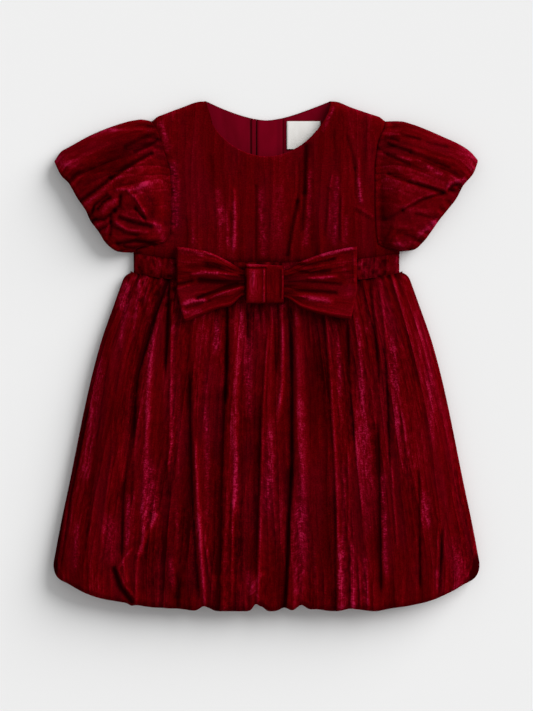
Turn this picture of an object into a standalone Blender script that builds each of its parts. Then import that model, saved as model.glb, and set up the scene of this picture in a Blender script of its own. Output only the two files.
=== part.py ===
"""Toddler party dress in crushed velvet, laid flat on its back.

Lengths are in millimetres until a point is placed. X runs to the right of the dress as it is
looked down on, Y towards the neck, and Z up from the surface that it lies on.
"""

from collections import namedtuple
from math import acos, cos, exp, hypot, pi, sin, sqrt

import bmesh
import bpy
from mathutils import Vector

MM = 0.001

# the whole dress
HALF_WIDTH = 191.4          # hem corner, out from the middle
HALF_LENGTH = 229.0         # neck point or hem, out from the middle
VELVET = 1.6                # wall of the pile cloth
LINING = 1.0                # wall of the smooth lining
SEAM = 0.3                  # gap between two sewn edges
SEAM_HEIGHT = 5.0           # where a front panel meets its back panel
STRIP = 0.6                 # short upright strip along such an edge
FRONT_EDGE = SEAM_HEIGHT + SEAM / 2 + STRIP
BACK_EDGE = SEAM_HEIGHT - SEAM / 2 - STRIP
BACK_ROUND = 7.0            # how far in from its edge a back panel leaves the surface

# waistband
BAND_HALF = 119.4
BAND_HEIGHT = 8.6
BAND_ROUND = 26.0
BAND_TOP, BAND_TOP_LIFT = 84.2, 8.0
WAIST, WAIST_LIFT = 66.2, 8.0

# skirt
SKIRT_ROUND = 68.0
FRONT_LIP, SIDE_ROLL = 11.0, 3.0
HEM_TURN_UP = 18.0
CORNER_START, CORNER_SLOPE, CORNER_ROUND = 100.0, 12.0, 28.0
HEM_PINCH = 0.35            # how far a valley pulls the hem in, as a share of its depth
VALLEY_POWER = 0.6          # below 1, a valley is narrow and the cloth between is broad
HEM_START = 30.0            # how far above the lowest point the outside ends, in reckoning folds
# shares of the skirt's length: where it is fully rounded, where crests are full, and where the
# depths of a valley's three stations are reached
FULLY_ROUND, CRESTS_FULL = 0.3, 0.2
DEEP_AT_WAIST, DEEP_AT_MIDDLE, DEEP_AT_HEM = 0.1, 0.5, 0.93
SEWN_DEPTH = 0.3            # share of a valley's waist depth that is left at the seam itself

# neck and shoulders
NECK_HALF, NECK_DROP, NECK_POWER = 54.6, 47.0, 1.85
FRONT_NECK_START = 225.6
BACK_NECK_DROP = 17.5
FRONT_COLUMNS, SHOULDER_COLUMNS = 22, 6
SHOULDER_OUT, SHOULDER_FALL, SHOULDER_CROWN = 103.4, 18.6, 2.2
SHOULDER_ROUND = 11.0
OVER_NECK = 1.3             # slope of the shoulder line where it is carried on over the neck
OPENING_X = -11.6           # centre-back opening

# bow
KNOT_LEFT, KNOT_RIGHT, KNOT_LOW, KNOT_HIGH = -19.5, 15.6, 46.8, 82.3
KNOT_RISE = 9.6
KNOT_SLANT = 1.8            # the knot's top edge drops this much towards the right
KNOT_PLEAT, KNOT_PLEAT_AT, KNOT_CROWN = 1.2, 0.56, 0.6
LOOPS_MEET = -2.0
LOOP_TOP, LOOP_TOP_IN_KNOT, LOOP_IN_KNOT = 5.4, 7.0, 2.6
LOOP_PUFF, LOOP_END_ROUND = 2.6, 1.6
LOOP_PLEATS, LOOP_PLEAT = 3.5, 1.1
TUCKED_TO, TUCK_POWER = 0.36, 6         # share of a loop that is drawn into the knot, and how sharply
PUFF_END, PUFF_FLAT, PLEAT_FADE = 1.15, 0.6, 0.7
KNOT_CORNER = 0.45                      # below 1, the wrapped band is squarer than an ellipse

# inside of the back neck
UNDER_STRIP_LEFT, PLACKET_LEFT, PLACKET_RIGHT = -14.1, -9.0, 14.7
PLACKET_LIFT = 0.5
NECK_INSET, SHOULDER_INSET = 2.0, 9.5
LINING_INSET, LINING_LOW = 5.0, 104.0
LABEL = 1.0                 # thickness of the folded label
LABEL_LEFT, LABEL_RIGHT, LABEL_LOW, LABEL_HIGH = 18.3, 48.4, 185.6, 210.6

Side = namedtuple("Side", "y half_width")
SKIRT_SIDE = (
    Side(-186.0, HALF_WIDTH),
    Side(-150.0, 184.6),
    Side(-116.0, 177.2),
    Side(-33.0, 160.0),
    Side(10.0, 149.0),
    Side(47.0, 136.4),
    Side(62.0, 129.8),
    Side(70.5, 124.2),
    Side(74.2, 120.0),
)

Height = namedtuple("Height", "share height")
SKIRT_HEIGHT = (
    Height(0.00, BAND_HEIGHT),
    Height(0.04, 10.8),
    Height(0.12, 13.6),
    Height(0.25, 17.0),
    Height(0.50, 18.6),
    Height(0.75, 19.8),
    Height(0.90, 22.0),
    Height(1.00, 23.0),
)

# a valley of the skirt's front: where it runs, how deep it is, and the crest on its right
Fold = namedtuple("Fold", "waist middle hem deep_waist deep_middle deep_hem crest")
SKIRT_FOLDS = (
    Fold(-115.8, -154.5, -169.8, 2.5, 1.2, 2.0, 0.0),
    Fold(-105.0, -139.2, -152.7, 3.0, 1.5, 2.5, 0.0),
    Fold(-91.5, -122.6, -135.6, 5.0, 6.5, 6.0, 1.4),
    Fold(-84.5, -90.6, -96.0, 4.0, 3.5, 2.0, 0.6),
    Fold(-77.0, -78.4, -79.8, 3.5, 1.0, 3.0, 0.8),
    Fold(-68.1, -67.6, -61.0, 2.5, 4.0, 3.5, 0.6),
    Fold(-53.7, -53.0, -51.0, 3.5, 1.5, 1.5, 0.4),
    Fold(-34.0, -39.3, -42.5, 5.4, 7.0, 6.0, 1.6),
    Fold(-16.4, -20.5, -20.5, 4.0, 1.5, 3.0, 0.4),
    Fold(-4.2, -7.0, -9.2, 2.5, 4.5, 5.0, 0.8),
    Fold(4.8, 4.8, 1.9, 3.0, 1.0, 1.0, 0.4),
    Fold(13.3, 14.2, 9.6, 3.5, 1.5, 1.0, 0.0),
    Fold(21.4, 22.4, 18.4, 5.0, 7.0, 6.0, 1.4),
    Fold(34.5, 36.3, 32.7, 3.0, 0.5, 2.5, -0.6),
    Fold(42.6, 47.0, 47.4, 2.5, 0.4, 1.0, -0.4),
    Fold(51.7, 58.3, 62.4, 4.0, 6.0, 5.0, 1.0),
    Fold(70.5, 78.6, 82.2, 4.0, 2.5, 1.5, 1.2),
    Fold(85.8, 99.3, 102.9, 5.0, 5.0, 4.0, 0.6),
    Fold(94.8, 110.0, 118.2, 4.0, 2.5, 2.0, 0.6),
    Fold(102.9, 121.8, 135.3, 3.5, 1.5, 3.5, 0.4),
    Fold(109.2, 134.4, 148.8, 3.0, 1.5, 2.0, 0.0),
    Fold(115.4, 148.8, 166.8, 2.0, 1.0, 2.0, 0.0),
)

BODICE_HEIGHT = (
    Height(84.0, BAND_HEIGHT),
    Height(97.0, 10.6),
    Height(125.0, 12.0),
    Height(180.0, 11.4),
    Height(229.0, 10.0),
)

# seam between bodice and sleeve, from the underarm to the shoulder
Point = namedtuple("Point", "x y")
ARMHOLE = {
    "left": (
        Point(-119.2, 92.5),
        Point(-116.0, 95.0),
        Point(-104.0, 98.6),
        Point(-90.0, 102.6),
        Point(-86.4, 112.0),
        Point(-86.2, 140.0),
        Point(-87.2, 164.0),
        Point(-92.4, 183.2),
        Point(-97.6, 200.0),
        Point(-SHOULDER_OUT, 210.4),
    ),
    "right": (
        Point(119.2, 92.5),
        Point(116.0, 94.6),
        Point(109.0, 96.4),
        Point(100.6, 100.0),
        Point(98.4, 112.0),
        Point(97.4, 140.0),
        Point(97.6, 171.0),
        Point(99.3, 185.0),
        Point(101.2, 198.4),
        Point(SHOULDER_OUT, 210.4),
    ),
}

# how the armhole is divided on both sides of its seam, from the underarm to the shoulder
ARMHOLE_LOW = (0, 0.03, 0.07, 0.12)
ARMHOLE_HIGH = (0.87, 0.93, 0.97, 0.99, 1)
ARMHOLE_SHARES = ARMHOLE_LOW + (0.18, 0.25, 0.32, 0.4, 0.48, 0.56, 0.64, 0.72, 0.8) + ARMHOLE_HIGH
ARMHOLE_SHARES_BACK = ARMHOLE_LOW + (0.25, 0.4, 0.56, 0.72) + ARMHOLE_HIGH

# outline of each sleeve: along its top fold from the shoulder, then along its hem to the underarm
SLEEVE_TOP = {
    "left": (
        Point(-103.9, 210.6),
        Point(-112.0, 212.0),
        Point(-120.3, 211.4),
        Point(-132.0, 208.5),
        Point(-146.0, 203.4),
        Point(-160.8, 196.6),
        Point(-177.0, 188.8),
        Point(-186.4, 182.2),
        Point(-191.4, 174.4),
    ),
    "right": (
        Point(103.9, 210.6),
        Point(112.0, 211.2),
        Point(120.3, 211.0),
        Point(130.8, 208.5),
        Point(145.2, 203.0),
        Point(158.7, 197.5),
        Point(175.8, 188.8),
        Point(185.0, 182.2),
        Point(190.8, 175.0),
    ),
}
SLEEVE_HEM = {
    "left": (
        Point(-191.4, 174.4),
        Point(-184.4, 164.0),
        Point(-177.0, 156.2),
        Point(-169.6, 141.0),
        Point(-161.2, 130.4),
        Point(-158.0, 121.0),
        Point(-149.6, 109.8),
        Point(-141.0, 99.5),
        Point(-131.0, 93.6),
        Point(-121.6, 93.4),
    ),
    "right": (
        Point(190.8, 175.0),
        Point(187.2, 165.4),
        Point(177.4, 153.4),
        Point(170.6, 141.0),
        Point(161.6, 131.8),
        Point(154.6, 122.4),
        Point(146.0, 111.8),
        Point(137.6, 101.4),
        Point(128.0, 94.6),
        Point(120.4, 93.4),
    ),
}
SLEEVE_CROWN = (
    Height(0.00, 9.4),
    Height(0.12, 13.6),
    Height(0.35, 18.6),
    Height(0.70, 18.4),
    Height(1.00, 16.6),
)
SLEEVE_SEAM = 0.45          # gap at the armhole, measured across the dress
UNDERARM_SEAM = 0.75        # gap where the armhole runs out under the arm, measured along it
SLEEVE_ROLL, SLEEVE_ROLL_FRONT = 2.1, 1.2
SLEEVE_LIP_FRONT, SLEEVE_LIP_BACK = 10.0, 4.3
SLEEVE_TURN_UP = 10.0
SLEEVE_ROUND, SLEEVE_FULL = 0.7, 0.14   # fullness across, and the share of its length at which it is full
SLEEVE_UNDER, UNDER_ROUND = 1.5, 0.6    # how soon the underside comes down flat, and how roundly
HEAD_GATHERS, HEAD_GATHER_DEPTH = 7, 1.1
HEAD_GATHER_AT, HEAD_GATHER_REACH, CREASES_FULL = 0.1, 0.09, 0.2    # shares of the sleeve's length

# creases pressed into a panel: a trough between two points, or a ridge where deep is negative
Crease = namedtuple("Crease", "x1 y1 x2 y2 deep half")
BODICE_CREASES = (
    Crease(35.4, 184.0, 33.3, 142.0, 2.4, 4.5),
    Crease(33.3, 142.0, 19.8, 96.0, 2.4, 4.5),
    Crease(-8.7, 146.0, -9.5, 92.0, 1.6, 5.0),
    Crease(27.0, 180.0, 30.0, 98.0, -1.4, 4.0),
    Crease(-30.0, 142.0, -28.0, 92.0, -1.2, 6.0),
    Crease(66.0, 165.0, 66.0, 108.0, -1.2, 7.0),
    Crease(82.0, 176.0, 84.0, 128.0, -1.2, 6.0),
    Crease(-52.0, 168.0, -47.0, 110.0, 1.2, 6.0),
    Crease(84.0, 133.0, 97.0, 124.0, 1.2, 4.0),
)
SLEEVE_CREASES = {
    "left": (
        Crease(-98.0, 183.0, -131.0, 164.0, 4.0, 7.0),
        Crease(-131.0, 164.0, -160.0, 134.0, 4.0, 7.0),
        Crease(-112.0, 168.0, -150.0, 142.0, -2.6, 6.0),
        Crease(-116.0, 142.0, -112.0, 116.0, 3.4, 6.0),
        Crease(-128.0, 148.0, -106.0, 126.0, -1.8, 6.0),
        Crease(-124.0, 110.0, -106.0, 110.0, -1.6, 6.0),
        Crease(-122.0, 102.0, -102.0, 104.0, 3.0, 5.0),
    ),
    "right": (
        Crease(101.0, 185.0, 129.0, 171.0, 3.2, 6.0),
        Crease(116.0, 159.8, 160.0, 146.0, 3.6, 6.0),
        Crease(160.0, 144.0, 120.0, 127.0, 3.2, 6.0),
        Crease(172.0, 152.0, 150.0, 164.0, -2.0, 6.0),
        Crease(112.0, 118.0, 132.0, 104.0, 2.0, 6.0),
    ),
}

# one side of the bow: its lower and upper edges, each from the knot outwards
BOW_LOW = {
    "left": (
        Point(LOOPS_MEET - 0.3, 52.8),
        Point(-20.4, 53.4),
        Point(-33.0, 44.2),
        Point(-44.7, 41.3),
        Point(-59.6, 35.1),
        Point(-72.0, 29.6),
    ),
    "right": (
        Point(LOOPS_MEET + 0.3, 52.4),
        Point(16.5, 51.4),
        Point(32.7, 41.6),
        Point(53.4, 35.8),
        Point(64.0, 33.6),
        Point(74.0, 32.0),
    ),
}
BOW_HIGH = {
    "left": (
        Point(LOOPS_MEET - 0.3, 76.4),
        Point(-20.4, 77.4),
        Point(-36.2, 85.4),
        Point(-50.1, 92.3),
        Point(-62.7, 95.2),
        Point(-78.9, 97.6),
    ),
    "right": (
        Point(LOOPS_MEET + 0.3, 75.8),
        Point(16.5, 77.0),
        Point(32.7, 85.2),
        Point(53.4, 92.3),
        Point(66.0, 95.4),
        Point(79.5, 97.6),
    ),
}
BOW_REST = (                # height of the cloth that the bow lies on, plus the gap to it
    Height(28.0, 16.6),
    Height(46.0, 13.2),
    Height(60.0, 10.6),
    Height(68.0, 9.2),
    Height(84.0, 9.2),
    Height(98.0, 11.2),
)
BOW_CREASES = {
    "left": (
        Crease(-55.5, 48.2, -24.0, 65.3, -1.6, 4.0),
        Crease(-58.0, 76.0, -24.0, 70.0, 1.6, 4.0),
    ),
    "right": (
        Crease(16.5, 54.5, 66.0, 50.0, -1.6, 4.0),
        Crease(18.0, 72.0, 56.0, 78.0, 1.6, 4.0),
    ),
}

VELVET_RED = (0.115, 0.002, 0.010, 1.0)
LINING_RED = (0.130, 0.001, 0.016, 1.0)
LABEL_WHITE = (0.800, 0.790, 0.770, 1.0)
VELVET_ROUGHNESS, LINING_ROUGHNESS, LABEL_ROUGHNESS = 0.85, 0.45, 0.60


def clear_scene():
    for thing in list(bpy.data.objects):
        bpy.data.objects.remove(thing, do_unlink=True)


def mix(a, b, share):
    return a + (b - a) * share


def ease(value):
    value = min(1.0, max(0.0, value))
    return value * value * (3 - 2 * value)


def rise(share):
    """A quarter round, from nothing at an edge to full height at a share of 1."""
    share = min(1.0, max(0.0, share))
    return sqrt(1 - (1 - share) ** 2)


def follow(rows, at, column=1):
    """The value of one column of a table at a place on its first column, along a smooth curve."""
    places = [row[0] for row in rows]
    values = [row[column] for row in rows]
    at = min(max(at, places[0]), places[-1])
    last = len(rows) - 1
    i = min(last - 1, max(k for k in range(last + 1) if places[k] <= at))
    span = places[i + 1] - places[i]
    step = (values[i + 1] - values[i]) / span

    def slope(k):
        if k in (0, last):
            return step
        before = (values[k] - values[k - 1]) / (places[k] - places[k - 1])
        after = (values[k + 1] - values[k]) / (places[k + 1] - places[k])
        return 0.0 if before * after <= 0 else 2 * before * after / (before + after)

    f = (at - places[i]) / span
    start = (1 + 2 * f) * (1 - f) ** 2 * values[i] + f * (1 - f) ** 2 * span * slope(i)
    end = f * f * (3 - 2 * f) * values[i + 1] - f * f * (1 - f) * span * slope(i + 1)
    return start + end


def trace(points, share):
    """The point at a share of a curve's length, where the curve is given by a few of its points."""
    legs = [hypot(b.x - a.x, b.y - a.y) for a, b in zip(points, points[1:])]
    reach = [sum(legs[:k]) for k in range(len(points))]
    along = share * reach[-1]
    x = follow([(r, p.x) for r, p in zip(reach, points)], along)
    y = follow([(r, p.y) for r, p in zip(reach, points)], along)
    return Point(x, y)


def patch(left, right, low, high, u, v):
    """A point inside four edge curves, where low and high run along u, left and right along v."""
    sides = [mix(left(v)[k], right(v)[k], u) for k in (0, 1)]
    ends = [mix(low(u)[k], high(u)[k], v) for k in (0, 1)]
    corners = [mix(mix(low(0)[k], low(1)[k], u), mix(high(0)[k], high(1)[k], u), v) for k in (0, 1)]
    return Point(*(sides[k] + ends[k] - corners[k] for k in (0, 1)))


def creased(creases, x, y):
    """How far the creases of a panel sink it at a place."""
    sink = 0.0
    for c in creases:
        run = Vector((c.x2 - c.x1, c.y2 - c.y1))
        along = min(1.0, max(0.0, run.dot(Vector((x - c.x1, y - c.y1))) / run.length_squared))
        away = hypot(x - c.x1 - run.x * along, y - c.y1 - run.y * along)
        sink += c.deep * exp(-((away / c.half) ** 2))
    return sink


def material(name, colour, roughness):
    finish = bpy.data.materials.new(name)
    finish.use_nodes = True
    shader = finish.node_tree.nodes["Principled BSDF"]
    shader.inputs["Base Color"].default_value = colour
    shader.inputs["Roughness"].default_value = roughness
    shader.inputs["Metallic"].default_value = 0.0
    return finish


def panel(name, across, down, place, wall, colour, roughness=VELVET_ROUGHNESS, face_up=True, tube=False):
    """A cloth panel: a grid whose vertices are put in place, with its wall grown inwards."""
    bm = bmesh.new()
    bmesh.ops.create_grid(bm, x_segments=len(across) - 1, y_segments=len(down) - 1, size=1.0)
    for vertex in bm.verts:
        i = round((vertex.co.x + 1) / 2 * (len(across) - 1))
        j = round((vertex.co.y + 1) / 2 * (len(down) - 1))
        vertex.co = Vector(place(across[i], down[j])) * MM
    if tube:
        bmesh.ops.remove_doubles(bm, verts=bm.verts, dist=0.01 * MM)
    if not face_up:
        bmesh.ops.reverse_faces(bm, faces=bm.faces)
    mesh = bpy.data.meshes.new(name)
    bm.to_mesh(mesh)
    bm.free()
    mesh.shade_smooth()
    piece = bpy.data.objects.new(name, mesh)
    dress.objects.link(piece)
    mesh.materials.append(material(f"{name} cloth", colour, roughness))
    cloth = piece.modifiers.new("wall", "SOLIDIFY")
    cloth.thickness = wall * MM
    cloth.offset = -1.0
    return piece


def shares(count):
    return [k / count for k in range(count + 1)]


def edge_columns(inner):
    """Places across a panel from -1 to 1, with an upright strip at each sewn edge."""
    half = [(-1.0, STRIP), (-1.0, 0.0)] + [(-s, 0.0) for s in inner]
    return half + [(0.0, 0.0)] + [(-s, sink) for s, sink in reversed(half)]


# ---- waistband ----

def band_top(x):
    return BAND_TOP + BAND_TOP_LIFT * abs(x / BAND_HALF) ** 3


def waist_line(x):
    return WAIST + WAIST_LIFT * abs(x / BAND_HALF) ** 4


def band_height(x):
    return FRONT_EDGE + (BAND_HEIGHT - FRONT_EDGE) * rise((BAND_HALF - abs(x)) / BAND_ROUND)


def back_height(inset):
    """Height of a back panel's outside at a distance in from its sewn edge."""
    return BACK_EDGE * (1 - rise(inset / BACK_ROUND))


def band_place(share, down, height):
    x = share * BAND_HALF
    return x, mix(band_top(x) - SEAM / 2, waist_line(x) + SEAM / 2, down), height(x)


def make_waistband():
    inner = (0.985, 0.95, 0.9, 0.75, 0.6, 0.45, 0.3, 0.15)
    across = edge_columns(inner)

    def front(column, down):
        return band_place(column[0], down, lambda x: band_height(x) - column[1])

    def back(column, down):
        return band_place(column[0], down, lambda x: back_height(BAND_HALF - abs(x)) + column[1])

    panel("waistband_front", across, (0, 0.5, 1), front, VELVET, VELVET_RED, face_up=False)
    back_across = edge_columns((0.99, 0.97, 0.94, 0.85, 0.7, 0.5, 0.25))
    panel("waistband_back", back_across, (0, 1), back, VELVET, VELVET_RED)


# ---- skirt ----

def corner_rise(x):
    """How far the hem has climbed towards its side seam."""
    q = min(1.0, max(0.0, (abs(x) - CORNER_START) / (HALF_WIDTH - CORNER_START)))
    return CORNER_SLOPE * q + CORNER_ROUND * (1 - sqrt(1 - q * q))


def tucked(x, inset):
    """Where a column lies once the hem has turned inside, drawn in from the side seam."""
    return x - (1 if x > 0 else -1) * 2 * SIDE_ROLL * (1 - ease(inset / SKIRT_ROUND))


def turn_under(base, inner, roll, row):
    """The hem past its base line: half a turn from outside to inside, then straight back up."""
    turn = min(row - 1, 1.0) * pi
    share = (1 - cos(turn)) / 2
    y = base[1] - roll * sin(turn) + max(row - 2, 0.0) * HEM_TURN_UP
    return mix(base[0], inner[0], share), y, mix(base[2], inner[1], share)


def skirt_columns():
    """Columns as the fold to the left, the share of the way to the next, and the strip."""
    count = len(SKIRT_FOLDS)
    columns = [(-1, 0.0, STRIP), (-1, 0.0, 0.0), (-1, 0.15, 0.0), (-1, 0.5, 0.0)]
    for k in range(count - 1):
        width = SKIRT_FOLDS[k + 1].middle - SKIRT_FOLDS[k].middle
        between = (0.0, 0.2, 0.5, 0.8) if width > 11.5 else (0.0, 0.27, 0.73)
        columns += [(k, share, 0.0) for share in between]
    columns += [(count - 1, share, 0.0) for share in (0.0, 0.5, 0.85, 1.0)]
    return columns + [(count - 1, 1.0, STRIP)]


def fold_place(k, t):
    """Where valley k crosses, as a share of the half width, with k past the ends at a seam."""
    if k < 0 or k >= len(SKIRT_FOLDS):
        return -1.0 if k < 0 else 1.0
    fold = SKIRT_FOLDS[k]
    x = follow(((0, fold.waist), (0.5, fold.middle), (1, fold.hem)), t)
    return x / follow(SKIRT_SIDE, mix(WAIST, -HALF_LENGTH + HEM_START, t))


def fold_depth(k, t):
    if k < 0 or k >= len(SKIRT_FOLDS):
        return 0.0
    fold = SKIRT_FOLDS[k]
    gathered = (0.0, SEWN_DEPTH * fold.deep_waist), (DEEP_AT_WAIST, fold.deep_waist)
    fallen = (DEEP_AT_MIDDLE, fold.deep_middle), (DEEP_AT_HEM, fold.deep_hem)
    return follow(gathered + fallen, t)


def in_valley(share):
    """How much of a valley's depth is felt between two valleys: all at either, none midway."""
    return 1 - max(0.0, sin(pi * share)) ** VALLEY_POWER


def skirt_front_height(column, t, x, half):
    """Height of the front's outside: the puff, less the valley, plus the crest."""
    k, share, sink = column
    puff = rise((half - abs(x)) / mix(BAND_ROUND, SKIRT_ROUND, ease(t / FULLY_ROUND)))
    height = FRONT_EDGE + (follow(SKIRT_HEIGHT, t) - FRONT_EDGE) * puff
    deep = mix(fold_depth(k, t), fold_depth(k + 1, t), share)
    height -= deep * in_valley(share) * puff
    if 0 <= k < len(SKIRT_FOLDS) - 1:
        height += SKIRT_FOLDS[k].crest * sin(pi * share) * ease(t / CRESTS_FULL)
    return height - sink


def skirt_front(column, row):
    k, share, sink = column
    t = min(row, 1.0)
    s = mix(fold_place(k, t), fold_place(k + 1, t), share)
    x_hem = s * HALF_WIDTH
    pinch = HEM_PINCH * mix(fold_depth(k, 1), fold_depth(k + 1, 1), share) * in_valley(share)
    base_z = skirt_front_height(column, 1.0, x_hem, HALF_WIDTH)
    inset = HALF_WIDTH - abs(x_hem)
    inner_z = mix(FRONT_EDGE - sink, FRONT_LIP, rise(inset / SKIRT_ROUND))
    roll = mix(SIDE_ROLL, (base_z - inner_z) / 2, rise(inset / SKIRT_ROUND))
    hem = -HALF_LENGTH + corner_rise(x_hem) + pinch + roll
    y = mix(waist_line(s * BAND_HALF) - SEAM / 2, hem, t)
    half = follow(SKIRT_SIDE, y)
    x = s * half
    if row <= 1.0:
        return x, y, skirt_front_height(column, t, x, half)
    return turn_under((x, hem, base_z), (tucked(x, inset), inner_z), roll, row)


def skirt_back(column, row):
    s, sink = column
    t = min(row, 1.0)
    inset = HALF_WIDTH - abs(s * HALF_WIDTH)
    roll = mix(SIDE_ROLL, BACK_EDGE / 2, rise(inset / BACK_ROUND))
    hem = -HALF_LENGTH + corner_rise(s * HALF_WIDTH) + roll
    y = mix(waist_line(s * BAND_HALF) - SEAM / 2, hem, t)
    half = follow(SKIRT_SIDE, y)
    x = s * half
    z = back_height(half - abs(x)) + sink
    if row <= 1.0:
        return x, y, z
    return turn_under((x, hem, z), (tucked(x, inset), BACK_EDGE + sink), roll, row)


def make_skirt():
    turns = (1.2, 1.4, 1.6, 1.8, 2.0, 3.0)
    rows = (0.0, 0.02, 0.06, 0.12, 0.2, 0.31, 0.44, 0.57, 0.7, 0.82, 0.92, 1.0) + turns
    panel("skirt_front", skirt_columns(), rows, skirt_front, VELVET, VELVET_RED, face_up=False)
    back_rows = (0.0, 0.012, 0.04, 0.1, 0.25, 0.45, 0.7, 1.0, 1.25, 1.5, 1.75, 2.0, 3.0)
    across = edge_columns((0.996, 0.988, 0.975, 0.955, 0.85, 0.7, 0.5, 0.25))
    panel("skirt_back", across, back_rows, skirt_back, VELVET, VELVET_RED)


# ---- bodice ----

def shoulder_line(x):
    """The shoulder seam, carried on upwards over the neck so that only its end is rounded."""
    out = abs(x)
    if out < NECK_HALF:
        return HALF_LENGTH + OVER_NECK * (NECK_HALF - out)
    share = (out - NECK_HALF) / (SHOULDER_OUT - NECK_HALF)
    return HALF_LENGTH - SHOULDER_FALL * share + SHOULDER_CROWN * sin(pi * min(1.0, share))


def bodice_height(x, y):
    """Height of the bodice front's outside."""
    full = follow(BODICE_HEIGHT, y - band_top(x) + BAND_TOP)
    over_shoulder = rise((shoulder_line(x) - y) / SHOULDER_ROUND)
    over_side = rise((BAND_HALF - abs(x)) / BAND_ROUND)
    return FRONT_EDGE + (full - FRONT_EDGE) * over_shoulder * over_side


def neck_front(share):
    """Front neckline, from its left end to its right."""
    x = -NECK_HALF * cos(pi * share)
    drop = max(0.0, 1 - abs(x / NECK_HALF) ** NECK_POWER) ** (1 / NECK_POWER)
    return Point(x, FRONT_NECK_START - NECK_DROP * drop)


def neck_back(x):
    return HALF_LENGTH - BACK_NECK_DROP * (1 - (x / NECK_HALF) ** 2)


def front_top(u):
    """Top edge of the front: left shoulder, neckline, right shoulder."""
    shoulder = SHOULDER_COLUMNS / FRONT_COLUMNS
    if u < shoulder:
        x = mix(-SHOULDER_OUT, -NECK_HALF, u / shoulder)
        return Point(x, mix(shoulder_line(x), neck_front(0).y, ease(u / shoulder) ** 4))
    if u > 1 - shoulder:
        right = front_top(1 - u)
        return Point(-right.x, right.y)
    return neck_front((u - shoulder) / (1 - 2 * shoulder))


def bodice_front(u, row):
    v = min(row, 1.0)

    def low(u):
        x = mix(-BAND_HALF, BAND_HALF, u)
        return Point(x, band_top(x) + SEAM / 2)

    def armhole(side):
        return lambda v: trace(ARMHOLE[side], v)

    p = patch(armhole("left"), armhole("right"), low, front_top, u, v)
    z = bodice_height(p.x, p.y) - creased(BODICE_CREASES, p.x, p.y)
    return p.x, p.y, z - STRIP * max(0.0, row - 1)


def back_edge_height(x, y):
    """Height of the bodice back's outside, raised towards the shoulder and the side seam."""
    over_shoulder = rise((shoulder_line(x) - y) / BACK_ROUND)
    over_side = rise((BAND_HALF - abs(x)) / BACK_ROUND)
    return BACK_EDGE * (1 - over_shoulder * over_side)


def back_top(x):
    return shoulder_line(x) if abs(x) > NECK_HALF else neck_back(x)


def back_side(side, u, row):
    """One half of the back, from the armhole at u = 0 to the centre-back opening at u = 1."""
    v = min(row, 1.0)
    sign = -1 if side == "left" else 1
    opening = OPENING_X + sign * SEAM / 2

    def centre(v):
        return Point(opening, mix(band_top(opening) + SEAM / 2, neck_back(opening), v))

    def low(u):
        x = mix(sign * BAND_HALF, opening, u)
        return Point(x, band_top(x) + SEAM / 2)

    def high(u):
        x = mix(sign * SHOULDER_OUT, opening, u)
        return Point(x, back_top(x))

    p = patch(lambda v: trace(ARMHOLE[side], v), centre, low, high, u, v)
    return p.x, p.y, back_edge_height(p.x, p.y) + STRIP * max(0.0, row - 1)


def back_columns(side):
    """Places across one half of the back, with one of them at the neck point."""
    opening = -OPENING_X if side == "left" else OPENING_X
    neck = (SHOULDER_OUT - NECK_HALF) / (SHOULDER_OUT - opening)
    return [neck * share for share in shares(4)] + [mix(neck, 1.0, share) for share in shares(5)[1:]]


def make_bodice():
    rows = ARMHOLE_SHARES + (2,)
    panel("bodice_front", shares(FRONT_COLUMNS), rows, bodice_front, VELVET, VELVET_RED)
    back_rows = ARMHOLE_SHARES_BACK + (2,)
    for side in ("left", "right"):
        panel(
            f"bodice_back_{side}",
            back_columns(side),
            back_rows,
            lambda u, row, side=side: back_side(side, u, row),
            VELVET,
            VELVET_RED,
            face_up=side == "right",
        )


# ---- sleeves ----

def sleeve_plan(side, u, w):
    """A place on the flattened sleeve, u from armhole to hem and w from top fold to underarm."""
    sign = -1 if side == "left" else 1
    top, hem, seam = SLEEVE_TOP[side], SLEEVE_HEM[side], ARMHOLE[side]
    out = hem_normal(side)

    def armhole(w):
        p = trace(seam, 1 - w)
        lift = SEAM * ease(1 - 4 * w) + UNDERARM_SEAM * ease((w - 0.5) / 0.3)
        return Point(p.x + sign * SLEEVE_SEAM, p.y + lift)

    def hem_base(w):
        p = trace(hem, w)
        return Point(p.x - out.x * sleeve_roll(w), p.y - out.y * sleeve_roll(w))

    def fold(u):
        p = trace(top, u)
        tip = hem_base(0)
        end = top[-1]
        return Point(p.x + (tip.x - end.x) * u, p.y + (tip.y - end.y) * u)

    def underarm(u):
        a, b = armhole(1), hem_base(1)
        return Point(mix(a.x, b.x, u), mix(a.y, b.y, u))

    return patch(fold, underarm, armhole, hem_base, w, u)


def hem_normal(side):
    """The way out of the sleeve, square to its hem."""
    first, last = SLEEVE_HEM[side][0], SLEEVE_HEM[side][-1]
    run = Vector((last.x - first.x, last.y - first.y)).normalized()
    return Vector((run.y, -run.x)) if side == "left" else Vector((-run.y, run.x))


def sleeve_roll(w, front=True):
    """Radius of the turned hem at a share of the way across it."""
    return SLEEVE_ROLL + (SLEEVE_ROLL_FRONT * 2 * sqrt(max(0.0, w * (1 - w))) if front else 0.0)


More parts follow.
